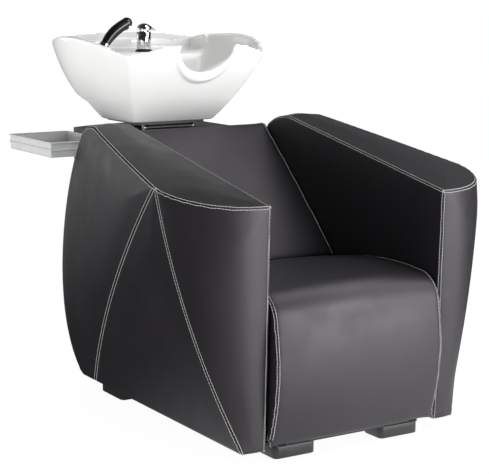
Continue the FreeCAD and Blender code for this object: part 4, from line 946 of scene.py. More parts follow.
@dataclass
class Arm:
    """One upholstered arm: three outer panels, a sloping top, an inner face and a rounded rear.

    Attributes:
        side: The side it stands on.
        inner: Distance of its inner face from the middle.
        foot_width: Width at the foot.
        foot: Height of the foot line.
        front_height: Height of the top at the front.
        rear_height: Height of the top where the rear starts to round.
        straight: Depth where the rear starts to round.
        peak: Side distance and depth of the widest point of the top.
        peak_flat: Length of the top edge between the two side seams.
        front_swell: Bulge of the front panel's top edge.
        side_swell: Bulge of the rear panel's top edge.
        panel_foot: Depth of the rear side seam at the foot.
        waist: How far the side seams bow outwards and back at half height.
        tail: Side distance and depth that the rear panel's top edge runs to.
        rear: Depths and heights of the points that the rear edge's arcs run through, from the top.
        edge_inset: How far inside the rear edge its seam is looked for.
        crown: Swelling of the padding.
        inner_flat: Share by which the inner face swells less.
        foot_flat: How fast the swelling fades towards the underside.
        board_room: How far the skin's form reaches past the board inside.
        cell: Size of the skin's cells.
        rounds: Smoothing rounds that round its edges.
        fill: How tight it is filled, from 0 to 1; not used.
    """

    side: Side
    inner: float = 0.255
    foot_width: float = 0.067
    foot: float = 0.031
    front_height: float = 0.631
    rear_height: float = 0.765
    straight: float = 0.680
    peak: tuple[float, float] = (0.463, 0.162)
    peak_flat: float = 0.008
    front_swell: float = 0.062
    side_swell: float = 0.010
    panel_foot: float = 0.800
    waist: tuple[float, float] = (0.018, 0.020)
    tail: tuple[float, float] = (0.295, 1.010)
    rear: tuple[tuple[float, float], ...] = ((0.680, 0.765), (0.745, 0.760), (0.800, 0.737), (0.925, 0.510),
                                             (0.965, 0.330), (0.948, 0.165), (0.905, 0.062))
    edge_inset: float = 0.003
    crown: float = 0.0065
    inner_flat: float = 0.8
    foot_flat: float = 2.0
    board_room: float = 0.002
    cell: float = 0.005
    rounds: int = 5
    fill: float = 0.95

    @property
    def name(self) -> str:
        """Name of the arm's node."""
        return f"{self.side.name.lower()}_arm"

    def point(self, side: float, depth: float, height: float) -> Vector:
        """A point on this arm's side of the unit."""
        return at(side * self.side.value, depth, height)

    def top(self, side: float, depth: float) -> Vector:
        """A point on the sloping top."""
        slope = (self.rear_height - self.front_height) / (self.straight + ARM_RAKE)
        return self.point(side, depth, self.front_height + slope * (depth + ARM_RAKE))

    def top_arc(self, start: tuple[float, float], end: tuple[float, float], swell: float) -> list[Vector]:
        """A bulging edge of the top.

        Args:
            start: Side distance and depth of its start.
            end: Side distance and depth of its end.
            swell: Height of the bulge.

        Returns:
            The edge's points.
        """
        run = Vector((end[0] - start[0], end[1] - start[1]))
        out = Vector((run.y, -run.x)).normalized() * swell
        middle = ((start[0] + end[0]) / 2 + out.x, (start[1] + end[1]) / 2 + out.y)
        return arc_through(self.top(*start), self.top(*middle), self.top(*end))

    def leg(self, top: Vector, foot: Vector) -> list[Vector]:
        """A side seam that bows out at half height."""
        bow = Vector((self.waist[0] * self.side.value, self.waist[1], 0))
        return arc_through(top, (top + foot) / 2 + bow, foot)

    def rear_edge(self, side: float) -> list[Vector]:
        """The rounded rear edge, from the top to near the foot.

        Args:
            side: Its side distance.

        Returns:
            The edge's points.
        """
        spots = [self.point(side, *spot) for spot in self.rear]
        edge: list[Vector] = []
        for first in range(0, len(spots) - 1, 2):
            edge.extend(arc_through(*spots[first:first + 3])[1 if edge else 0:])
        return edge

    def outer_rear_edge(self, skin: BVHTree) -> list[Vector]:
        """The rear edge where it meets the rear panel, found from outside.

        Args:
            skin: The skin's faces.

        Returns:
            The edge's points.
        """
        middle = self.point(self.inner, self.straight / 2, self.rear_height / 2)
        towards = Vector((-self.side.value, 0, 0))
        edge = []
        for spot in self.rear_edge(self.peak[0] + self.foot_width):
            inward = Vector((0, middle.y - spot.y, middle.z - spot.z)).normalized()
            hit = skin.ray_cast(spot + inward * self.edge_inset, towards)[0]
            if hit:
                edge.append(hit)
        return edge

    def build(self) -> None:
        """Makes the padded skin, its seams and its stitches."""
        shape = node_shape(self.name)
        low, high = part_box(f"{self.name}_board")
        room = Vector((self.board_room, self.board_room, 0))
        add_box(shape, low - room, high + room + Vector((0, 0, self.board_room)))
        skin = remeshed(shape, self.cell, self.rounds)
        seams = self.seams(skin)
        outward = normals(skin)
        weight = 1 - self.inner_flat * np.clip(-outward[:, 0] * self.side.value, 0, 1)
        weight *= np.clip(1 + outward[:, 2] * self.foot_flat, 0, 1)
        padded_out(skin, seams, self.crown, weight)
        piece = new_piece(self.name + "_padding", skin)
        finish_piece(piece, Finishes.LEATHER, Body.CHAIR, "charcoal_leather", self.name)
        SEWING.sew(self.name, skin, seams, [], Body.CHAIR)

    def seams(self, skin: bpy.types.Mesh) -> list[list[Vector]]:
        """The arm's seams.

        Args:
            skin: The skin that the rear seam is found on.

        Returns:
            A line for each seam.
        """
        front = (self.inner, -ARM_RAKE)
        peak_rear = (self.peak[0], self.peak[1] + self.peak_flat)
        heel = self.inner + self.foot_width
        side_top = [p for p in self.top_arc(peak_rear, self.tail, self.side_swell)
                    if p.y - DEPTH_ZERO < self.straight]
        front_top = self.top_arc(front, self.peak, self.front_swell)
        return [
            front_top + side_top + self.outer_rear_edge(skin_tree(skin)),
            [self.top(*front)] + self.rear_edge(self.inner),
            [self.point(self.inner, 0, self.foot), self.top(*front)],
            self.leg(self.top(*self.peak), self.point(heel, 0, self.foot)),
            self.leg(self.top(*peak_rear), self.point(heel, self.panel_foot, self.foot)),
        ]


# Cushions

@dataclass
class Cushion:
    """A cushion that swells from its solid's form by simulation.

    Attributes:
        node: Its node.
        cell: Size of the skin's cells.
        rounds: Smoothing rounds on the form, and again on the swollen skin.
        shrink: How far the form is drawn in before it swells.
        most: Furthest that a point moves outwards while it swells.
        calm_reach: Distance from a seam at which the swollen skin is fully calmed.
        calm_rounds: Smoothing rounds that calm it.
        hem: How far its lower front edge hangs below the solid's.
        hem_reach: Depth and height of what hangs with that edge.
        ends: How far its flat ends stand out from the solid's.
        pressure: Air pressure in it.
        frames: Length of the simulation.
        fill: How tight it is filled, from 0 to 1; not used.
    """

    node: str
    cell: float = 0.006
    rounds: int = 2
    shrink: float = 0.0012
    most: float = 0.0040
    calm_reach: float = 0.03
    calm_rounds: int = 40
    hem: float = 0.0
    hem_reach: tuple[float, float] = (0.06, 0.05)
    ends: float = 0.0006
    pressure: float = 4.0
    frames: int = 20
    fill: float = 0.85

    def swollen(self, mesh: bpy.types.Mesh) -> None:
        """Swells a skin as cloth filled with air.

        Args:
            mesh: The skin.
        """
        outward = normals(mesh)
        start = coordinates(mesh) - outward * self.shrink
        set_coordinates(mesh, start)
        holder = bpy.data.objects.new("swelling", mesh)
        bpy.context.scene.collection.objects.link(holder)
        cloth = holder.modifiers.new("cloth", "CLOTH")
        cloth.settings.use_pressure = True
        cloth.settings.uniform_pressure_force = self.pressure
        cloth.settings.effector_weights.gravity = 0.0
        cloth.point_cache.frame_start = 1
        cloth.point_cache.frame_end = self.frames
        scene = bpy.context.scene
        for number in range(1, self.frames + 1):
            scene.frame_set(number)
        graph = bpy.context.evaluated_depsgraph_get()
        result = holder.evaluated_get(graph).to_mesh()
        moved = coordinates(result) - start
        holder.evaluated_get(graph).to_mesh_clear()
        bpy.data.objects.remove(holder)
        scene.frame_set(1)
        swell = np.clip((moved * outward).sum(axis=1), 0.0, None)
        swell *= min(1.0, self.most / max(swell.max(), NOTHING))
        set_coordinates(mesh, start + outward * swell[:, None])

    def skin(self, seams: Sequence[Sequence[Vector]]) -> bpy.types.Mesh:
        """The cushion's swollen skin, smooth between its seams and flat at its ends.

        Args:
            seams: The seams.

        Returns:
            The skin.
        """
        mesh = remeshed(node_shape(self.node), self.cell, self.rounds)
        self.swollen(mesh)
        share = distances(coordinates(mesh), seams) / self.calm_reach
        mesh = calmed(calmed(mesh, self.calm_rounds, share), self.rounds)
        points, facing = coordinates(mesh), normals(mesh)[:, 0]
        low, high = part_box(self.node)
        end = np.where(facing > 0, high.x + self.ends, low.x - self.ends)
        points[:, 0] += (end - points[:, 0]) * np.clip(2 * np.abs(facing) - 1, 0, 1)
        depth, height = self.hem_reach
        hanging = np.clip(1 - (points[:, 2] - low.z) / height, 0, 1) * (points[:, 1] < low.y + depth)
        points[:, 2] -= self.hem * hanging
        set_coordinates(mesh, points)
        smooth(mesh)
        return mesh

    def build(self, double: Sequence[Sequence[Vector]], single: Sequence[Sequence[Vector]]) -> None:
        """Makes the cushion with its seams.

        Args:
            double: Seams with a row of stitches on each side.
            single: Seams with one row.
        """
        seams = list(double) + list(single)
        skin = self.skin(seams)
        padded_out(skin, seams)
        piece = new_piece(self.node + "_padding", skin)
        finish_piece(piece, Finishes.LEATHER, Body.CHAIR, "charcoal_leather", self.node)
        SEWING.sew(self.node, skin, double, single, Body.CHAIR)


def solid_edge(node: str, side: Side, keep: Callable[[Vector], bool]) -> list[Vector]:
    """The outline of a solid's flat end on one side, from the points that are kept, in order round it.

    Args:
        node: The node.
        side: The end.
        keep: Test that a point of the edge passes.

    Returns:
        The points in order.
    """
    low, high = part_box(node)
    end = high.x if side is Side.RIGHT else low.x
    spots = {(round(v.co.y, WELD_PLACES), round(v.co.z, WELD_PLACES))
             for v in frame["nodes"][node].data.vertices if abs(v.co.x - end) < TOUCH and keep(v.co)}
    order = sorted(spots, key=lambda s: math.atan2(s[1] - low.z, s[0] - high.y))
    return [Vector((end, y, z)) for y, z in order]


def build_seat(seam_rise: float = 0.010, seam_set: float = 0.001, hem: float = 0.009) -> None:
    """The seat, with a seam round each end of its roll.

    Args:
        seam_rise: Height above the seat board from which the seams are sewn behind the apron.
        seam_set: How far in front of the front board they are sewn lower down.
        hem: How far the roll's lower edge hangs below the solid's.
    """
    pad_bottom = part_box("seat_board")[1].z + seam_rise
    apron_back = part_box("front_board")[0].y - seam_set
    seams = [solid_edge("seat_cushion", side, lambda spot: spot.z > pad_bottom or spot.y < apron_back)
             for side in Side]
    Cushion("seat_cushion", hem=hem).build(seams, [])


def build_back(inset: float = 0.006) -> None:
    """The back, with one row of stitches along each side.

    Args:
        inset: Distance of the rows from its sides.
    """
    low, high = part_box("back_cushion")
    spots = [vert.co for vert in frame["nodes"]["back_cushion"].data.vertices]
    top = max(spots, key=lambda spot: spot.z)
    foot = min(spots, key=lambda spot: spot.y)
    rows = [[Vector((x, spot.y, spot.z)) for spot in (foot, top)] for x in (low.x + inset, high.x - inset)]
    Cushion("back_cushion").build([], rows)


# Bowl

@dataclass
class Bowl:
    """The glazed bowl, with a rolled lip round its neck rest.

    Attributes:
        cell: Size of the skin's cells.
        rounds: Smoothing rounds that roll the rim.
        notch_half: Half the width of the neck rest.
        notch_shoulder: Height of the neck rest's straight sides.
        notch_floor: Height of the neck rest's lowest point.
        lip: Half the lip's depth and height in the middle.
        lip_set: How far the lip's middle lies behind the front face.
        lip_end: The lip's size at its ends, as a share.
        lip_steps: Steps along the lip and round it.
        waste: Side distance and depth of the waste.
        waste_rim: Radius round the waste that stays as it is.
        waste_fade: How fast the smoothing grows beyond that radius.
        inside_rounds: Smoothing rounds on the inside.
        inside_rim: Height below the rim where the inside's smoothing ends.
        inside_slope: How far a face looks up to belong to the inside.
        rest_rounds: Smoothing rounds round the neck rest.
        rest_depth: How far back that smoothing reaches.
        rest_side: Side distance over which its strength drops by one, and its strength in the middle.
        rest_height: Height where it starts, and the rise to its full strength.
        horn: Side distance and height of the rounded corners beside the neck rest.
        horn_rounds: Smoothing rounds that round them.
        horn_reach: How far that smoothing reaches to the side and upwards.
        horn_depth: How far back it reaches.
        horn_strength: Its strength in the corners' middle.
        coat: Thickness of the glaze.
    """

    cell: float = 0.004
    rounds: int = 3
    notch_half: float = 0.088
    notch_shoulder: float = 0.956
    notch_floor: float = 0.897
    lip: tuple[float, float] = (0.040, 0.017)
    lip_set: float = 0.030
    lip_end: float = 0.12
    lip_steps: int = 20
    waste: tuple[float, float] = (0.0, 1.030)
    waste_rim: float = 0.070
    waste_fade: float = 3.0
    inside_rounds: int = 40
    inside_rim: float = 0.030
    inside_slope: float = 0.3
    rest_rounds: int = 30
    rest_depth: float = 0.075
    rest_side: tuple[float, float] = (0.14, 1.25)
    rest_height: tuple[float, float] = (0.84, 0.03)
    horn: tuple[float, float] = (0.097, 0.966)
    horn_rounds: int = 70
    horn_reach: tuple[float, float] = (0.030, 0.026)
    horn_depth: float = 0.07
    horn_strength: float = 1.5
    coat: float = 0.0015

    def notch(self) -> list[Vector]:
        """The neck rest's edge, seen from the front."""
        left, right = (at(side.value * self.notch_half, 0, self.notch_shoulder) for side in Side)
        return arc_through(left, at(0, 0, self.notch_floor), right, self.lip_steps)

    def add_lip(self, shape: bmesh.types.BMesh) -> None:
        """Adds the rolled lip along the neck rest's edge.

        Args:
            shape: The bowl's form.
        """
        wall = BVHTree.FromBMesh(shape)
        edge = self.notch()
        depth, height = self.lip
        angles = [math.tau * step / self.lip_steps for step in range(self.lip_steps)]
        rings = []
        for index, spot in enumerate(edge):
            along = (edge[min(index + 1, len(edge) - 1)] - edge[max(index - 1, 0)]).normalized()
            down = Vector((along.z, 0, -along.x))
            share = abs(2 * index / (len(edge) - 1) - 1)
            size = 1 - (1 - self.lip_end) * share ** 2
            centre = spot + down * height * size
            hit = wall.ray_cast(Vector((centre.x, at(0, 0, 0).y, centre.z)), Vector((0, 1, 0)))[0]
            centre.y = hit.y + self.lip_set * size
            rings.append([centre + Vector((0, -depth * size * math.cos(angle), 0))
                          + down * height * size * math.sin(angle) for angle in angles])
        absorb(shape, lofted(rings, "neck_lip"))

    def build(self) -> None:
        """Makes the bowl's glazed skin, softer round the neck rest than elsewhere."""
        shape = node_shape("bowl")
        self.add_lip(shape)
        skin = remeshed(shape, self.cell, self.rounds)
        skin = calmed(skin, self.inside_rounds, self.inside_share(coordinates(skin), normals(skin)))
        skin = calmed(skin, self.rest_rounds, self.rest_share(coordinates(skin)))
        skin = calmed(skin, self.horn_rounds, self.horn_share(coordinates(skin)))
        set_coordinates(skin, coordinates(skin) + normals(skin) * self.coat)
        smooth(skin)
        piece = new_piece("glazed_bowl", skin)
        finish_piece(piece, Finishes.GLAZE, Body.BOWL, "white_glaze", "bowl")

    def inside_share(self, points: np.ndarray, facing: np.ndarray) -> np.ndarray:
        """How far points belong to the inside, away from the rim and the waste.

        Args:
            points: The skin's points, as rows.
            facing: Its directions at these points, as rows.

        Returns:
            A share for each point.
        """
        low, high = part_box("bowl")
        middle = np.array((low + high) / 2)
        inward = -((points - middle) * facing)[:, :2].sum(axis=1)
        waste = np.array(at(*self.waste, 0.0))[:2]
        clear = np.hypot(*(points[:, :2] - waste).T) / self.waste_rim - 1
        inside = (inward > 0) | (facing[:, 2] > self.inside_slope)
        inside &= points[:, 2] < high.z - self.inside_rim
        return inside * np.clip(clear * self.waste_fade, 0, 1)

    def rest_share(self, points: np.ndarray) -> np.ndarray:
        """How near points lie to the neck rest.

        Args:
            points: The skin's points, as rows.

        Returns:
            A share for each point.
        """
        reach, strength = self.rest_side
        start, rise = self.rest_height
        share = np.exp(-((points[:, 1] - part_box("bowl")[0].y) / self.rest_depth) ** 2)
        share *= np.clip(strength - np.abs(points[:, 0]) / reach, 0, 1)
        return share * np.clip((points[:, 2] - start) / rise, 0, 1)

    def horn_share(self, points: np.ndarray) -> np.ndarray:
        """How near points lie to the corners beside the neck rest.

        Args:
            points: The skin's points, as rows.

        Returns:
            A share for each point.
        """
        side = (np.abs(points[:, 0]) - self.horn[0]) / self.horn_reach[0]
        height = (points[:, 2] - self.horn[1]) / self.horn_reach[1]
        front = points[:, 1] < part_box("bowl")[0].y + self.horn_depth
        return self.horn_strength * front * np.exp(-side ** 2 - height ** 2)


# Tap and hand shower

@dataclass
class Tap:
    """The mixer tap: a turned column with a domed lever.

    Attributes:
        edge: Rounding of the column's edges.
        bore: Radius at the middle of the column's ends, as a share.
        waist: Radius at half the column's height, as a share.
        gap: Height of the dome's foot over the column.
        dome_bore: Radius at the middle of the dome's foot, as a share.
        dome: Radius and height along the dome, as shares, from its foot.
        blade: Length of the lever's blade from the dome's middle.
        blade_steps: Steps round the blade.
        stations: Length, height, half width and half thickness along the blade, as shares.
        cell: Size of the lever's cells.
        rounds: Smoothing rounds that join dome and blade.
        shell: Thickness of the lever's dome.
        lift: Angle that the dome's rear edge is cut back by, in degrees.
        ball_steps: Steps round the hollow and over it.
    """

    edge: float = 0.0015
    bore: float = 0.55
    waist: float = 0.97
    gap: float = 0.0006
    dome_bore: float = 0.4
    dome: tuple[tuple[float, float], ...] = ((1.02, 0.25), (0.95, 0.50), (0.78, 0.74), (0.48, 0.92),
                                             (0.08, 1.00))
    blade: float = 0.040
    blade_steps: int = 24
    stations: tuple[tuple[float, float, float, float], ...] = (
        (0.00, 0.54, 0.80, 0.42), (0.30, 0.50, 0.74, 0.36), (0.50, 0.36, 0.60, 0.28),
        (0.68, 0.20, 0.42, 0.18), (0.84, 0.08, 0.26, 0.09), (1.00, 0.00, 0.12, 0.04),
    )
    cell: float = 0.0009
    rounds: int = 4
    shell: float = 0.003
    lift: float = 22.0
    ball_steps: tuple[int, int] = (40, 20)

    def build(self) -> None:
        """Makes the column and the lever."""
        low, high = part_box("tap_body")
        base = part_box("tap_ring")[1].z
        radius, rise = (high.x - low.x) / 2, high.z - base
        mesh = turned([
            (radius * self.bore, 0.0), (radius - self.edge, 0.0), (radius, self.edge),
            (radius * self.waist, rise * 0.5), (radius, rise - self.edge), (radius - self.edge, rise),
            (radius * self.bore, rise),
        ], Vector(((low.x + high.x) / 2, (low.y + high.y) / 2, base)), Vector((0, 0, 1)), "tap_column")
        finish_piece(new_piece("tap_column", mesh), Finishes.CHROME, Body.BOWL, "chrome", "tap_body")
        self.build_lever()

    def build_lever(self) -> None:
        """Makes the dome and the drooping blade as one smooth form."""
        low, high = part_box("tap_lever")
        radius, height = (high.y - low.y) / 2, high.z - low.z
        centre = Vector((low.x + radius, (low.y + high.y) / 2, low.z))
        profile = [(radius * self.dome_bore, self.gap), (radius, self.gap)]
        profile += [(radius * share, height * rise) for share, rise in self.dome]
        shape = bmesh.new()
        absorb(shape, turned(profile, centre, Vector((0, 0, 1)), "lever_dome"))
        angles = [math.tau * step / self.blade_steps for step in range(self.blade_steps)]
        rings = []
        for along, rise, half, thick in self.stations:
            middle = centre + Vector((along * self.blade, 0, rise * height))
            wide, tall = half * radius, thick * height
            rings.append([middle + Vector((0, math.cos(angle) * wide, math.sin(angle) * tall))
                          for angle in angles])
        absorb(shape, lofted(rings, "lever_blade"))
        form = remeshed(shape, self.cell, self.rounds)
        piece = new_piece("lever_cap", self.opened(form, centre, radius))
        finish_piece(piece, Finishes.CHROME, Body.LEVER, "chrome", "tap_lever")

    def opened(self, mesh: bpy.types.Mesh, centre: Vector, radius: float) -> bpy.types.Mesh:
        """Hollows the lever over its stem and cuts its rear edge back for the lift.

        Args:
            mesh: The lever as a solid form, which is used up.
            centre: Middle of the dome's foot.
            radius: Radius of the dome.

        Returns:
            The hollow lever.
        """
        ball, wedge = bmesh.new(), bmesh.new()
        across, over = self.ball_steps
        bmesh.ops.create_uvsphere(ball, u_segments=across, v_segments=over, radius=radius - self.shell,
                                  matrix=Matrix.Translation(centre))
        reach, under = 2 * radius, Vector((0, 0, -radius))
        slope = Vector((-reach, 0, reach * math.tan(math.radians(self.lift))))
        corners = [centre + under, centre - Vector((reach, 0, radius)), centre + slope, centre]
        near, far = ([wedge.verts.new(corner + Vector((0, side * reach, 0))) for corner in corners]
                     for side in (-1, 1))
        for face in (near, far[::-1], *([near[i - 1], far[i - 1], far[i], near[i]] for i in range(4))):
            wedge.faces.new(face)
        bmesh.ops.recalc_face_normals(wedge, faces=wedge.faces)
        cutters = []
        for name, shape in (("stem_room", ball), ("lift_room", wedge)):
            cutters.append(new_piece(name, plain_mesh(shape, name)))
        cut = {"operation": "DIFFERENCE", "solver": "EXACT"}
        mesh = with_modifiers(mesh, *(("BOOLEAN", cut | {"object": cutter}) for cutter in cutters))
        for cutter in cutters:
            room = cutter.data
            bpy.data.objects.remove(cutter)
            bpy.data.meshes.remove(room)
        smooth(mesh)
        return mesh


@dataclass
class HandShower:
    """The hand shower: a tapering grip that curves over to a round head above its spray face.

    Attributes:
        lean: Lean of the socket to the right, in degrees.
        rise: Length of the curve's straight start.
        run: Length of the curve's straight end.
        over: Slope of the curve's end, in degrees from upright.
        head_rise: Height of the head's middle over the spray face.
        head_set: Distance of the head's middle to the right of the spray face's.
        foot: Radius at the foot.
        belly: Radius in the middle, to which the head adds a little.
        head: Radius at the head.
        slimness: How fast the belly slims towards the ends; more is slimmer.
        steps: Steps along the grip.
        cap_steps: Steps over its round end.
        cap_turn: Angle that the round end goes over, in degrees.
        sides: Steps round it.
    """

    lean: float = 30.0
    rise: float = 0.055
    run: float = 0.042
    over: float = 64.0
    head_rise: float = 0.012
    head_set: float = -0.003
    foot: float = 0.0122
    belly: float = 0.0160
    head: float = 0.0170
    slimness: float = 1.2
    steps: int = 28
    cap_steps: int = 8
    cap_turn: float = 86.0
    sides: int = 32

    def direction(self, angle: float) -> Vector:
        """The direction that leans to the right by an angle in degrees."""
        return Vector((math.sin(math.radians(angle)), 0, math.cos(math.radians(angle))))

    def build(self) -> None:
        """Makes the grip along a curve from the socket to the round head."""
        base = self.base()
        low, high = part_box("spray_face")
        end = (low + high) / 2 + Vector((self.head_set, 0, self.head_rise))
        corners = [base, base + self.direction(self.lean) * self.rise,
                   end - self.direction(self.over) * self.run, end]
        angles = [math.tau * step / self.sides for step in range(self.sides)]
        rings = []
        for step in range(self.steps + self.cap_steps + 1):
            share = min(step / self.steps, 1.0)
            rest = 1 - share
            shares = (rest ** 3, 3 * share * rest ** 2, 3 * share ** 2 * rest, share ** 3)
            spot = sum((corner * part for corner, part in zip(corners, shares)), Vector())
            slope = rest ** 2 * (corners[1] - corners[0]) + share ** 2 * (corners[3] - corners[2])
            axis = (slope + 2 * share * rest * (corners[2] - corners[1])).normalized()
            ends = self.foot + (self.head - self.foot) * share ** 3
            radius = ends + (self.belly - self.foot) * math.sin(math.pi * share) ** self.slimness
            if step > self.steps:
                turn = math.radians(self.cap_turn) * (step - self.steps) / self.cap_steps
                spot = spot + axis * radius * math.sin(turn)
                radius *= math.cos(turn)
            side = Vector((axis.z, 0, -axis.x))
            rings.append([spot + side * radius * math.cos(angle) + Vector((0, radius * math.sin(angle), 0))
                          for angle in angles])
        piece = new_piece("curved_grip", lofted(rings, "curved_grip", smooth_angle=60.0))
        finish_piece(piece, Finishes.BLACK_GLOSS, Body.HANDSET, "black_gloss", "shower_grip")

    def base(self) -> Vector:
        """Finds the foot of the grip from its node's lowest points.

        Returns:
            The foot's middle.
        """
        points = [vert.co for vert in frame["nodes"]["shower_grip"].data.vertices]
        along = self.direction(self.lean)
        least = min(point.dot(along) for point in points)
        foot = [point for point in points if point.dot(along) < least + TOUCH]
        return sum(foot, Vector()) / len(foot)


# Rigid pieces

# Angles up to which faces count as one and from which edges are rounded, and the steps of a rounding
FLAT_ANGLE = math.radians(0.5)
EDGE_ANGLE = math.radians(38.0)
EDGE_STEPS = 3


def softened(node: str, body: Body, finish: Finishes, slot: str, width: float) -> None:
    """Stands a copy with rounded edges in for a rigid node.

    Args:
        node: The node.
        body: The body it rides on.
        finish: Its finish.
        slot: The record's slot.
        width: Width of the rounding.
    """
    shape = node_shape(node)
    bmesh.ops.dissolve_limit(shape, angle_limit=FLAT_ANGLE, verts=shape.verts, edges=shape.edges)
    rounding = {"width": width, "segments": EDGE_STEPS, "limit_method": "ANGLE", "angle_limit": EDGE_ANGLE,
                "use_clamp_overlap": True}
    mesh = with_modifiers(plain_mesh(shape, node), ("BEVEL", rounding))
    smooth(mesh, angle=40.0)
    finish_piece(new_piece(node + "_shell", mesh), finish, body, slot, node)


@dataclass
class Tray:
    """The open tray with its rolled lip and the rib round its wall.

    Attributes:
        lip: Width of the lip.
        lip_drop: Depths under the rim of the lip's underside, its lower edge and its outer edge.
        lip_edge: Rounding of the lip's edge.
        wall: Thickness of the wall.
        slope: How far the inner wall steps in under the rim, and from which depth.
        rib: How far the rib stands out.
        rib_marks: Heights where the rib starts, is full, is last full and ends, as shares.
        foot: Width and height of the rounding at the outer floor.
        cove: Width and height of the rounding at the inner floor.
        corner: Corner radius.
        least: Smallest corner radius.
    """

    lip: float = 0.005
    lip_drop: tuple[float, float, float] = (0.004, 0.0035, 0.002)
    lip_edge: float = 0.0008
    wall: float = 0.0025
    slope: tuple[float, float] = (0.001, 0.002)
    rib: float = 0.003
    rib_marks: tuple[float, float, float, float] = (0.42, 0.46, 0.53, 0.57)
    foot: tuple[float, float] = (0.004, 0.003)
    cove: tuple[float, float] = (0.005, 0.004)
    corner: float = 0.008
    least: float = 0.002

    def build(self) -> None:
        """Makes the tray as one skin, from the outer floor round the lip to the inner floor."""
        low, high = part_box("tray")
        rise = high.z - low.z
        rib = [(self.lip - out * self.rib, rise * mark) for out, mark in zip((0, 1, 1, 0), self.rib_marks)]
        under, lower, outer = (rise - drop for drop in self.lip_drop)
        inner = self.lip + self.wall
        steps = [
            (self.lip + self.foot[0], 0.0), (self.lip, self.foot[1]), *rib, (self.lip, under),
            (self.lip_edge, lower), (0.0, outer), (self.lip_edge, rise), (inner, rise),
            (inner + self.slope[0], rise - self.slope[1]), (inner + self.slope[0], self.wall + self.cove[1]),
            (inner + self.cove[0], self.wall),
        ]
        rings = []
        for inset, height in steps:
            shift = Vector((inset, inset, 0))
            corner = max(self.corner - inset, self.least)
            rings.append(rounded_ring(low + shift, high - shift, corner, low.z + height))
        piece = new_piece("tray_shell", lofted(rings, "tray_shell", smooth_angle=30.0))
        finish_piece(piece, Finishes.TRAY, Body.TRAY, "pale_plastic", "tray")


@dataclass
class Feet:
    """The four low feet.

    Attributes:
        corner: Radius of the upright corners.
        edge: Rounding of the top and bottom edges.
        edge_middle: Where the middle of that rounding lies, as a share.
        sunk: How far the top reaches up into the padding.
    """

    corner: float = 0.014
    edge: float = 0.003
    edge_middle: float = 0.3
    sunk: float = 0.005

    def build(self) -> None:
        """Makes each foot as a rounded block in its node's place."""
        for end in ("front", "rear"):
            for side in Side:
                node = f"foot_{end}_{side.name.lower()}"
                low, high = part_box(node)
                high.z += self.sunk
                middle = self.edge * self.edge_middle
                rings = []
                for inset, height in ((self.edge, low.z), (middle, low.z + middle), (0.0, low.z + self.edge),
                                      (0.0, high.z - self.edge), (middle, high.z - middle),
                                      (self.edge, high.z)):
                    shift = Vector((inset, inset, 0))
                    rings.append(rounded_ring(low + shift, high - shift, self.corner - inset, height))
                piece = new_piece(node + "_block", lofted(rings, node + "_block", smooth_angle=50.0))
                finish_piece(piece, Finishes.FEET, Body.CHAIR, "grey_feet", node)


# Stage

@dataclass(frozen=True)
class PhotoCamera:
    """The photograph's viewpoint.

    Attributes:
        azimuth: Turn round the unit, in degrees.
        elevation: Angle above the horizon, in degrees.
        distance: Distance from the point it looks at.
        lens: Focal length in millimetres on a sensor as wide as the picture.
        sensor: Width of the sensor in millimetres.
        aim: Side distance, depth and height of the point it looks at.
    """

    azimuth: float = -31.5323
    elevation: float = 9.6416
    distance: float = 3.8505
    lens: float = 108.85
    sensor: float = 36.0
    aim: tuple[float, float, float] = (-0.1009, 0.35, 0.4913)

    def build(self) -> None:
        """Sets the camera."""
        turn, tilt = math.radians(self.azimuth), math.radians(self.elevation)
        back = Vector((math.sin(turn) * math.cos(tilt), -math.cos(turn) * math.cos(tilt), math.sin(tilt)))
        data = bpy.data.cameras.new("photo_camera")
        data.lens = self.lens
        data.sensor_width = self.sensor
        camera = bpy.data.objects.new("photo_camera", data)
        bpy.context.scene.collection.objects.link(camera)
        camera.location = at(*self.aim) + back * self.distance
        camera.rotation_mode = "QUATERNION"
        camera.rotation_quaternion = (-back).to_track_quat("-Z", "Y")
        bpy.context.scene.camera = camera


@dataclass(frozen=True)
class Softbox:
    """A studio light.

    Attributes:
        name: Its name.
        place: Side distance, depth and height.
        aim: Where it points.
        size: Width and height of its face.
        power: Power in watts.
        mirrored: Whether glossy things reflect it.
        spreads: Whether it lights matt things.
    """

    name: str
    place: tuple[float, float, float]
    aim: tuple[float, float, float]
    size: tuple[float, float]
    power: float
    mirrored: bool = True
    spreads: bool = True

    def build(self) -> None:
        """Sets the light."""
        data = bpy.data.lights.new(self.name, "AREA")
        data.shape = "RECTANGLE"
        data.size, data.size_y = self.size
        data.energy = self.power
        light = bpy.data.objects.new(self.name, data)
        bpy.context.scene.collection.objects.link(light)
        light.location = at(*self.place)
        light.rotation_mode = "QUATERNION"
        light.rotation_quaternion = (at(*self.aim) - at(*self.place)).to_track_quat("-Z", "Y")
        light.visible_glossy = self.mirrored
        light.visible_diffuse = self.spreads


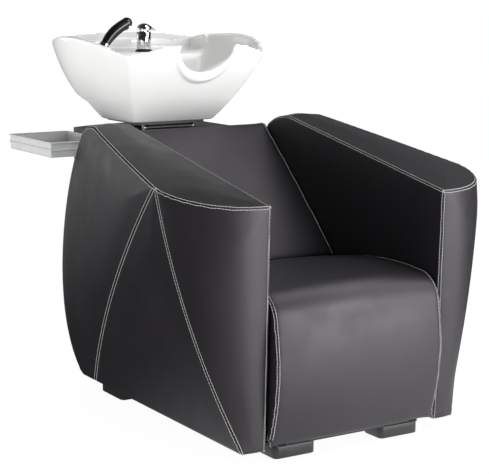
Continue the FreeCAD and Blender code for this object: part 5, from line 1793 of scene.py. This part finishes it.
@dataclass(frozen=True)
class Stage:
    """A pale floor that rises behind the unit, soft lights and a white room.

    Attributes:
        half: Half the floor's width.
        front: Depth where the floor starts.
        rise_start: Depth where it starts to rise.
        rise_steps: Steps of the rise.
        radius: Radius of the rise.
        height: Height of the backdrop.
        tint: Colour of the floor, display channels from 0 to 255.
        white: Strength of the floor's white.
        shade: Share of real light and shadow on the floor.
        glow: Strength of the lit floor's light on the unit.
        room: Strength of the room's own light.
        mirrored: Strength of the floor and of the room in reflections.
        behind: Strength of the backdrop in reflections.
        behind_start: Where the floor starts to turn into the backdrop in reflections, and where it has.
        pool: Strength of the floor in reflections in front of the front softbox.
        pool_place: Side distance and depth of the middle of that pool of light.
        pool_reach: How far the pool of light reaches.
        lights: The soft lights.
    """

    half: float = 8.0
    front: float = -8.0
    rise_start: float = 4.0
    rise_steps: int = 12
    radius: float = 2.0
    height: float = 7.0
    tint: tuple[float, float, float] = (247, 247, 247)
    white: float = 1.04
    shade: float = 0.08
    glow: float = 0.85
    room: float = 0.48
    mirrored: float = 0.035
    behind: float = 0.25
    behind_start: tuple[float, float] = (1.0, 3.0)
    pool: float = 2.9
    pool_place: tuple[float, float] = (0.4, -1.3)
    pool_reach: float = 2.3
    lights: tuple[Softbox, ...] = (
        Softbox("front_softbox", (1.7, -3.0, 0.8), (0.0, 0.2, 0.45), (3.2, 1.9), 145.0, spreads=False),
        Softbox("upper_softbox", (1.7, -2.3, 2.0), (0.0, 0.0, 0.4), (3.2, 1.0), 26.0, spreads=False),
        Softbox("key_softbox", (1.25, -0.3, 2.5), (0.0, 0.3, 0.45), (1.6, 2.4), 42.0),
        Softbox("rear_softbox", (-1.5, 3.5, 1.1), (-0.2, 0.7, 0.6), (1.6, 1.3), 8.0),
        Softbox("left_fill", (-3.6, 0.3, 0.5), (0.0, 0.9, 0.85), (2.4, 0.9), 68.0, mirrored=False),
        Softbox("front_fill", (0.3, -3.4, 0.4), (0.0, 0.9, 0.85), (2.4, 0.7), 105.0, mirrored=False),
        Softbox("right_fill", (2.9, -2.0, 0.5), (0.0, 0.9, 0.85), (1.8, 0.9), 88.0, mirrored=False),
    )

    def build(self) -> None:
        """Sets the floor, the lights, the room and the camera."""
        scene = bpy.context.scene
        scene.view_settings.view_transform = "Standard"
        self.build_floor()
        self.build_room()
        for light in self.lights:
            light.build()
        PhotoCamera().build()

    def build_floor(self) -> None:
        """Makes the floor with its backdrop."""
        line = [(self.front, 0.0), (self.rise_start, 0.0)]
        for step in range(1, self.rise_steps + 1):
            angle = math.pi / 2 * step / self.rise_steps
            line.append((self.rise_start + self.radius * math.sin(angle),
                         self.radius * (1 - math.cos(angle))))
        line.append((self.rise_start + self.radius, self.height))
        verts = [at(side, depth, height) for depth, height in line for side in (-self.half, self.half)]
        faces = [(2 * i, 2 * i + 1, 2 * i + 3, 2 * i + 2) for i in range(len(line) - 1)]
        mesh = bpy.data.meshes.new("studio_floor")
        mesh.from_pydata(verts, [], faces)
        smooth(mesh)
        mesh.materials.append(self.floor_material())
        floor = new_piece("studio_floor", mesh)

    def floor_material(self) -> bpy.types.Material:
        """White where it is seen, with a share of the real shadow, and darker in reflections.

        Returns:
            The material.
        """
        material = bpy.data.materials.new("studio_floor")
        material.use_nodes = True
        material.cycles.emission_sampling = "NONE"
        tree = material.node_tree
        tree.nodes.clear()
        add, link = tree.nodes.new, tree.links.new
        matt, white, lit = add("ShaderNodeBsdfDiffuse"), add("ShaderNodeEmission"), add("ShaderNodeEmission")
        seen, whole, level = add("ShaderNodeMixShader"), add("ShaderNodeMixShader"), add("ShaderNodeMix")
        path = add("ShaderNodeLightPath")
        matt.inputs["Color"].default_value = colour(*self.tint)
        seen.inputs["Fac"].default_value = 1 - self.shade
        white.inputs["Strength"].default_value = self.white
        level.inputs["A"].default_value = self.glow
        link(self.reflected(tree), level.inputs["B"])
        link(path.outputs["Is Glossy Ray"], level.inputs["Factor"])
        link(level.outputs["Result"], lit.inputs["Strength"])
        link(matt.outputs[0], seen.inputs[1])
        link(white.outputs[0], seen.inputs[2])
        link(path.outputs["Is Camera Ray"], whole.inputs["Fac"])
        link(lit.outputs[0], whole.inputs[1])
        link(seen.outputs[0], whole.inputs[2])
        link(whole.outputs[0], add("ShaderNodeOutputMaterial").inputs["Surface"])
        return material

    def reflected(self, tree: bpy.types.NodeTree) -> bpy.types.NodeSocket:
        """How bright the floor looks in reflections: a pool of light in front, and the backdrop behind.

        Args:
            tree: The floor material's nodes.

        Returns:
            The strength.
        """
        add, link = tree.nodes.new, tree.links.new
        place, split = add("ShaderNodeTexCoord"), add("ShaderNodeSeparateXYZ")
        away = add("ShaderNodeVectorMath")
        pool, rear, level = add("ShaderNodeMapRange"), add("ShaderNodeMapRange"), add("ShaderNodeMath")
        away.operation = "DISTANCE"
        away.inputs[1].default_value = at(*self.pool_place, 0.0)
        level.operation = "MAXIMUM"
        for node, span, levels in ((pool, (0.0, self.pool_reach), (self.pool, self.mirrored)),
                                   (rear, self.behind_start, (self.mirrored, self.behind))):
            node.interpolation_type = "SMOOTHSTEP"
            node.inputs["From Min"].default_value, node.inputs["From Max"].default_value = span
            node.inputs["To Min"].default_value, node.inputs["To Max"].default_value = levels
        link(place.outputs["Object"], away.inputs[0])
        link(place.outputs["Object"], split.inputs["Vector"])
        link(away.outputs["Value"], pool.inputs["Value"])
        link(split.outputs["Y"], rear.inputs["Value"])
        link(pool.outputs["Result"], level.inputs[0])
        link(rear.outputs["Result"], level.inputs[1])
        return level.outputs["Value"]

    def build_room(self) -> None:
        """White where it is seen, softer where it only lights."""
        world = bpy.data.worlds.new("white_room")
        bpy.context.scene.world = world
        world.use_nodes = True
        tree = world.node_tree
        add, link = tree.nodes.new, tree.links.new
        back = tree.nodes["Background"]
        back.inputs["Color"].default_value = (1.0, 1.0, 1.0, 1.0)
        path = add("ShaderNodeLightPath")
        glossy, seen = add("ShaderNodeMix"), add("ShaderNodeMix")
        glossy.inputs["A"].default_value = self.room
        glossy.inputs["B"].default_value = self.mirrored
        seen.inputs["B"].default_value = 1.0
        link(path.outputs["Is Glossy Ray"], glossy.inputs["Factor"])
        link(path.outputs["Is Camera Ray"], seen.inputs["Factor"])
        link(glossy.outputs["Result"], seen.inputs["A"])
        link(seen.outputs["Result"], back.inputs["Strength"])


def main() -> None:
    """Builds the stage and every piece, and notes the sizes."""
    logging.basicConfig(level=logging.INFO, format="%(message)s")
    dress_nodes()
    Stage().build()
    for side in Side:
        Arm(side).build()
    build_seat()
    build_back()
    Bowl().build()
    Tap().build()
    HandShower().build()
    Tray().build()
    Feet().build()
    softened("rear_cover", Body.CHAIR, Finishes.BLACK_COVER, "black_cover", width=0.003)
    softened("tray_bracket", Body.CHAIR, Finishes.PAINTED, "black_steel", width=0.001)


if __name__ == "__main__":
    main()
